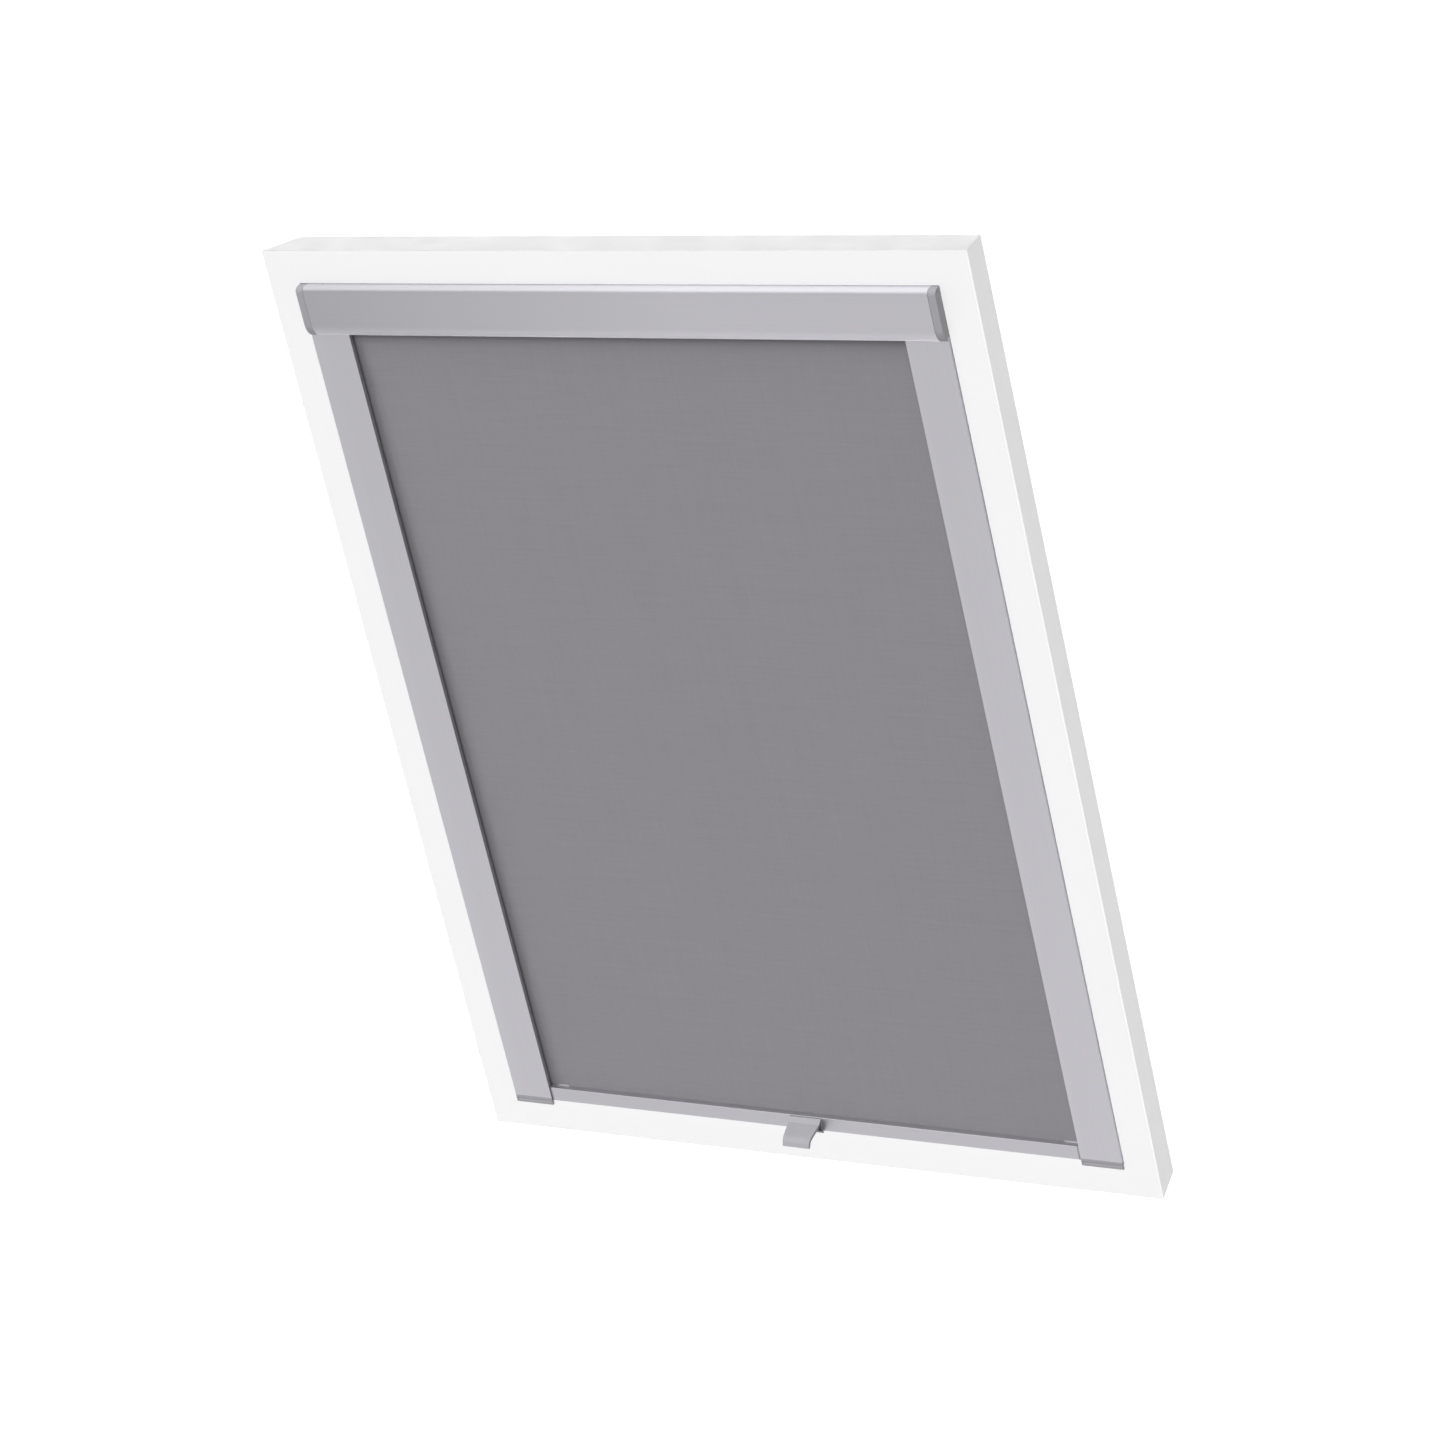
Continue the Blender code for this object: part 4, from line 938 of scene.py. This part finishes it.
def sheetGrid(width, low, high, y, columns, rowsUp):
    bm = bmesh.new()
    bmesh.ops.create_grid(bm, x_segments=columns, y_segments=rowsUp, size=0.5)
    bmesh.ops.rotate(bm, verts=bm.verts, cent=(0, 0, 0), matrix=Matrix.Rotation(math.pi / 2, 3, "X"))
    bmesh.ops.scale(bm, vec=(width, 1, high - low), verts=bm.verts)
    bmesh.ops.translate(bm, vec=(0, y, (low + high) / 2), verts=bm.verts)
    bmesh.ops.recalc_face_normals(bm, faces=bm.faces)
    return bm


def clothPiece(name, bm, body, y, *nodes):
    bmesh.ops.solidify(bm, geom=bm.faces[:], thickness=clothSizes["thickness"])
    shift = y - sum(vert.co.y for vert in bm.verts) / len(bm.verts)
    bmesh.ops.translate(bm, vec=(0, shift, 0), verts=bm.verts)
    piece = addPiece(name, bm, "cloth", body, *nodes, even=False)
    piece.data.materials.append(finishes["coating"][0])
    for face in piece.data.polygons:
        face.material_index = 1 if face.normal.y > 0.5 else 0
    return piece


def blindCloth():
    low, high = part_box("blind_fabric")
    y = (low.y + high.y) / 2
    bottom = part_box("bottom_bar")[1].z + clothSizes["aboveBar"]
    bm = sheetGrid(high.x - low.x, bottom, high.z, y, *clothSizes["grid"])
    for vert in bm.verts:  # nearly flat: held between the roller and the bar, free at its long edges
        rise = (vert.co.z - bottom) / (high.z - bottom)
        held = math.sin(math.pi * max(0.0, min(1.0, rise)))
        edge = (abs(vert.co.x) / high.x) ** clothSizes["edgePower"]
        wave = math.sin(vert.co.x * clothSizes["radiansPerMetre"])
        vert.co.y += held * (clothSizes["wave"] * wave + clothSizes["edgeCurl"] * edge)
    piece = clothPiece("blindCloth", bm, staticBody, y, "blind_fabric")
    # The hem goes down into the bar's slot and is cut narrower, clear of the bar's guides.
    hemWidth = 2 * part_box("hem_rod")[1].x
    hem = sheetGrid(hemWidth, low.z, bottom - clothSizes["seam"], y, *clothSizes["hemGrid"])
    hem = clothPiece("clothHem", hem, barBody, y)
    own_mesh(piece)


blindCloth()
print("cloth done")


# CAD parts whose shapes stay, each with its own finish
kept = {
    "zinc": ["spring_arbor", "idler_pin"]
            + [f"rail_screw_{name}_{index}" for name, side in sides for index in (1, 2, 3)]
            + [f"cap_screw_{name}_{index}" for name, side in sides for index in (1, 2)],
    "springWire": ["torsion_spring", "brake_spring_left", "brake_spring_right"],
    "nylon": ["spring_drive_plug", "idler_plug", "arbor_bush", "hem_rod"],
    "silverAcross": ["roller_tube"],
}
for finish, names in kept.items():
    for name in names:
        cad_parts[name].data.materials.clear()
        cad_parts[name].data.materials.append(finishes[finish][0])
print("kept parts finished")


# Camera, lights and floor
cameraSizes = {"lens": 122.506, "sensor": 36, "place": (2.54497, -3.44428, 2.42223),
               "right": (0.83865, 0.501389, -0.212777), "up": (-0.051149, 0.461425, 0.885703)}


def addCamera():
    data = bpy.data.cameras.new("camera")
    data.lens = cameraSizes["lens"]
    data.sensor_width = cameraSizes["sensor"]
    camera = bpy.data.objects.new("camera", data)
    bpy.context.scene.collection.objects.link(camera)
    right = Vector(cameraSizes["right"]).normalized()
    back = right.cross(Vector(cameraSizes["up"])).normalized()
    turn = Matrix((right, back.cross(right), back)).transposed().to_4x4()
    camera.matrix_world = Matrix.Translation(cameraSizes["place"]) @ turn
    bpy.context.scene.camera = camera


# Each lamp's strength, its size in degrees and where it shines from.
lampSizes = {
    "key": (2.45, 45, (-0.54, -0.41, 0.73)),
    "front": (1.32, 35, (0.06, -1, 0.75)),
    "softFront": (1.386, 35, (0.42, -1, 0.75)),
    "back": (1.2, 60, (-0.6, 0.7, 0.2)),
    "frameLight": (2.83, 30, (0.463, -0.586, 0.33)),
    "over": (1.9, 100, (-0.54, 0.15, 0.82)),
    "under": (7, 50, (-0.542, 0.413, -0.732)),  # mostly hidden behind the cloth and the floor
}
framePieces = ["windowStile_left", "windowStile_right", "windowRail_top", "windowRail_bottom"]
softPieces = ["blindCloth", "clothHem"]
softPieces += [f"railBrush_{label}_{name}" for label in ("front", "back") for name, side in sides]


def addSun(name):
    strength, angle, direction = lampSizes[name]
    data = bpy.data.lights.new(name, "SUN")
    data.energy = strength
    data.angle = math.radians(angle)
    lamp = bpy.data.objects.new(name, data)
    lamp.rotation_mode = "QUATERNION"
    lamp.rotation_quaternion = Vector(direction).to_track_quat("Z", "Y")
    bpy.context.scene.collection.objects.link(lamp)
    return lamp


def listed(name, pieces, state="INCLUDE"):
    collection = bpy.data.collections.new(name)
    for piece in pieces:
        collection.objects.link(bpy.data.objects[piece])
    for entry in collection.collection_objects:
        entry.light_linking.link_state = state
    return collection


def addLamps():
    for name, leftOut in (("key", framePieces), ("front", framePieces + softPieces)):
        lamp = addSun(name)
        lamp.visible_glossy = False
        lamp.light_linking.receiver_collection = listed(f"{name}LeavesOut", leftOut, "EXCLUDE")
    # The cloth and the brushes get the front light from further right, into the rail's mouth.
    lamp = addSun("softFront")
    lamp.visible_glossy = False
    lamp.light_linking.receiver_collection = listed("softLit", softPieces)
    addSun("back")
    # The frame has a light of its own, so that the blind throws no shadow on it.
    lamp = addSun("frameLight")
    lamp.light_linking.receiver_collection = listed("frameLit", framePieces)
    lamp.light_linking.blocker_collection = listed("frameShadows", framePieces)
    # Two lights bring out the sheen on the rounded edges of the cover and the bar, and nothing else.
    for name, pieces in (("over", ["cassetteCover", "bottomBar"]), ("under", ["cassetteCover"])):
        lamp = addSun(name)
        lamp.visible_diffuse = False
        lamp.light_linking.receiver_collection = listed(f"{name}Lit", pieces)
        lamp.light_linking.blocker_collection = listed(f"{name}Shadows", pieces)


studioSizes = {"sky": 0.22, "floorDepth": 1.5, "floorHalf": 40, "floorColour": 0.5, "floorGlow": 0.60}


def throughMirror(tree):
    # 1 for what the camera sees directly, in a mirror or through glass.
    path = addNode(tree, "ShaderNodeLightPath").outputs
    seen = path["Is Camera Ray"]
    for way in ("Is Glossy Ray", "Is Transmission Ray"):
        seen = addNode(tree, "ShaderNodeMath", {0: seen, 1: path[way]}, operation="MAXIMUM").outputs[0]
    return seen


def addWorld():
    world = bpy.data.worlds.new("studio")
    world.use_nodes = True
    tree = world.node_tree
    sky = tree.nodes["Background"].inputs
    sky["Color"].default_value = (1, 1, 1, 1)
    strength = spread(tree, throughMirror(tree), studioSizes["sky"], 1.0, 0, 1)
    tree.links.new(strength, sky["Strength"])
    bpy.context.scene.world = world


def addFloor():
    bm = bmesh.new()
    bmesh.ops.create_grid(bm, x_segments=2, y_segments=2, size=studioSizes["floorHalf"])
    mesh = bpy.data.meshes.new("floor")
    bm.to_mesh(mesh)
    bm.free()
    floor = bpy.data.objects.new("floor", mesh)
    floor.location.z = -studioSizes["floorDepth"]
    bpy.context.scene.collection.objects.link(floor)
    finish = bpy.data.materials.new("paleFloor")
    finish.use_nodes = True
    tree = finish.node_tree
    tree.nodes.clear()
    matt = addNode(tree, "ShaderNodeBsdfDiffuse", {"Color": (*[studioSizes["floorColour"]] * 3, 1)})
    glow = addNode(tree, "ShaderNodeEmission",  # what the lit floor is short of white
                   {"Strength": spread(tree, throughMirror(tree), 0, studioSizes["floorGlow"], 0, 1)})
    both = addNode(tree, "ShaderNodeAddShader", {0: matt.outputs[0], 1: glow.outputs[0]})
    addNode(tree, "ShaderNodeOutputMaterial", {"Surface": both.outputs[0]})
    mesh.materials.append(finish)


addCamera()
addLamps()
addWorld()
addFloor()
bpy.context.scene.view_settings.view_transform = "Standard"
print("camera and lights done")
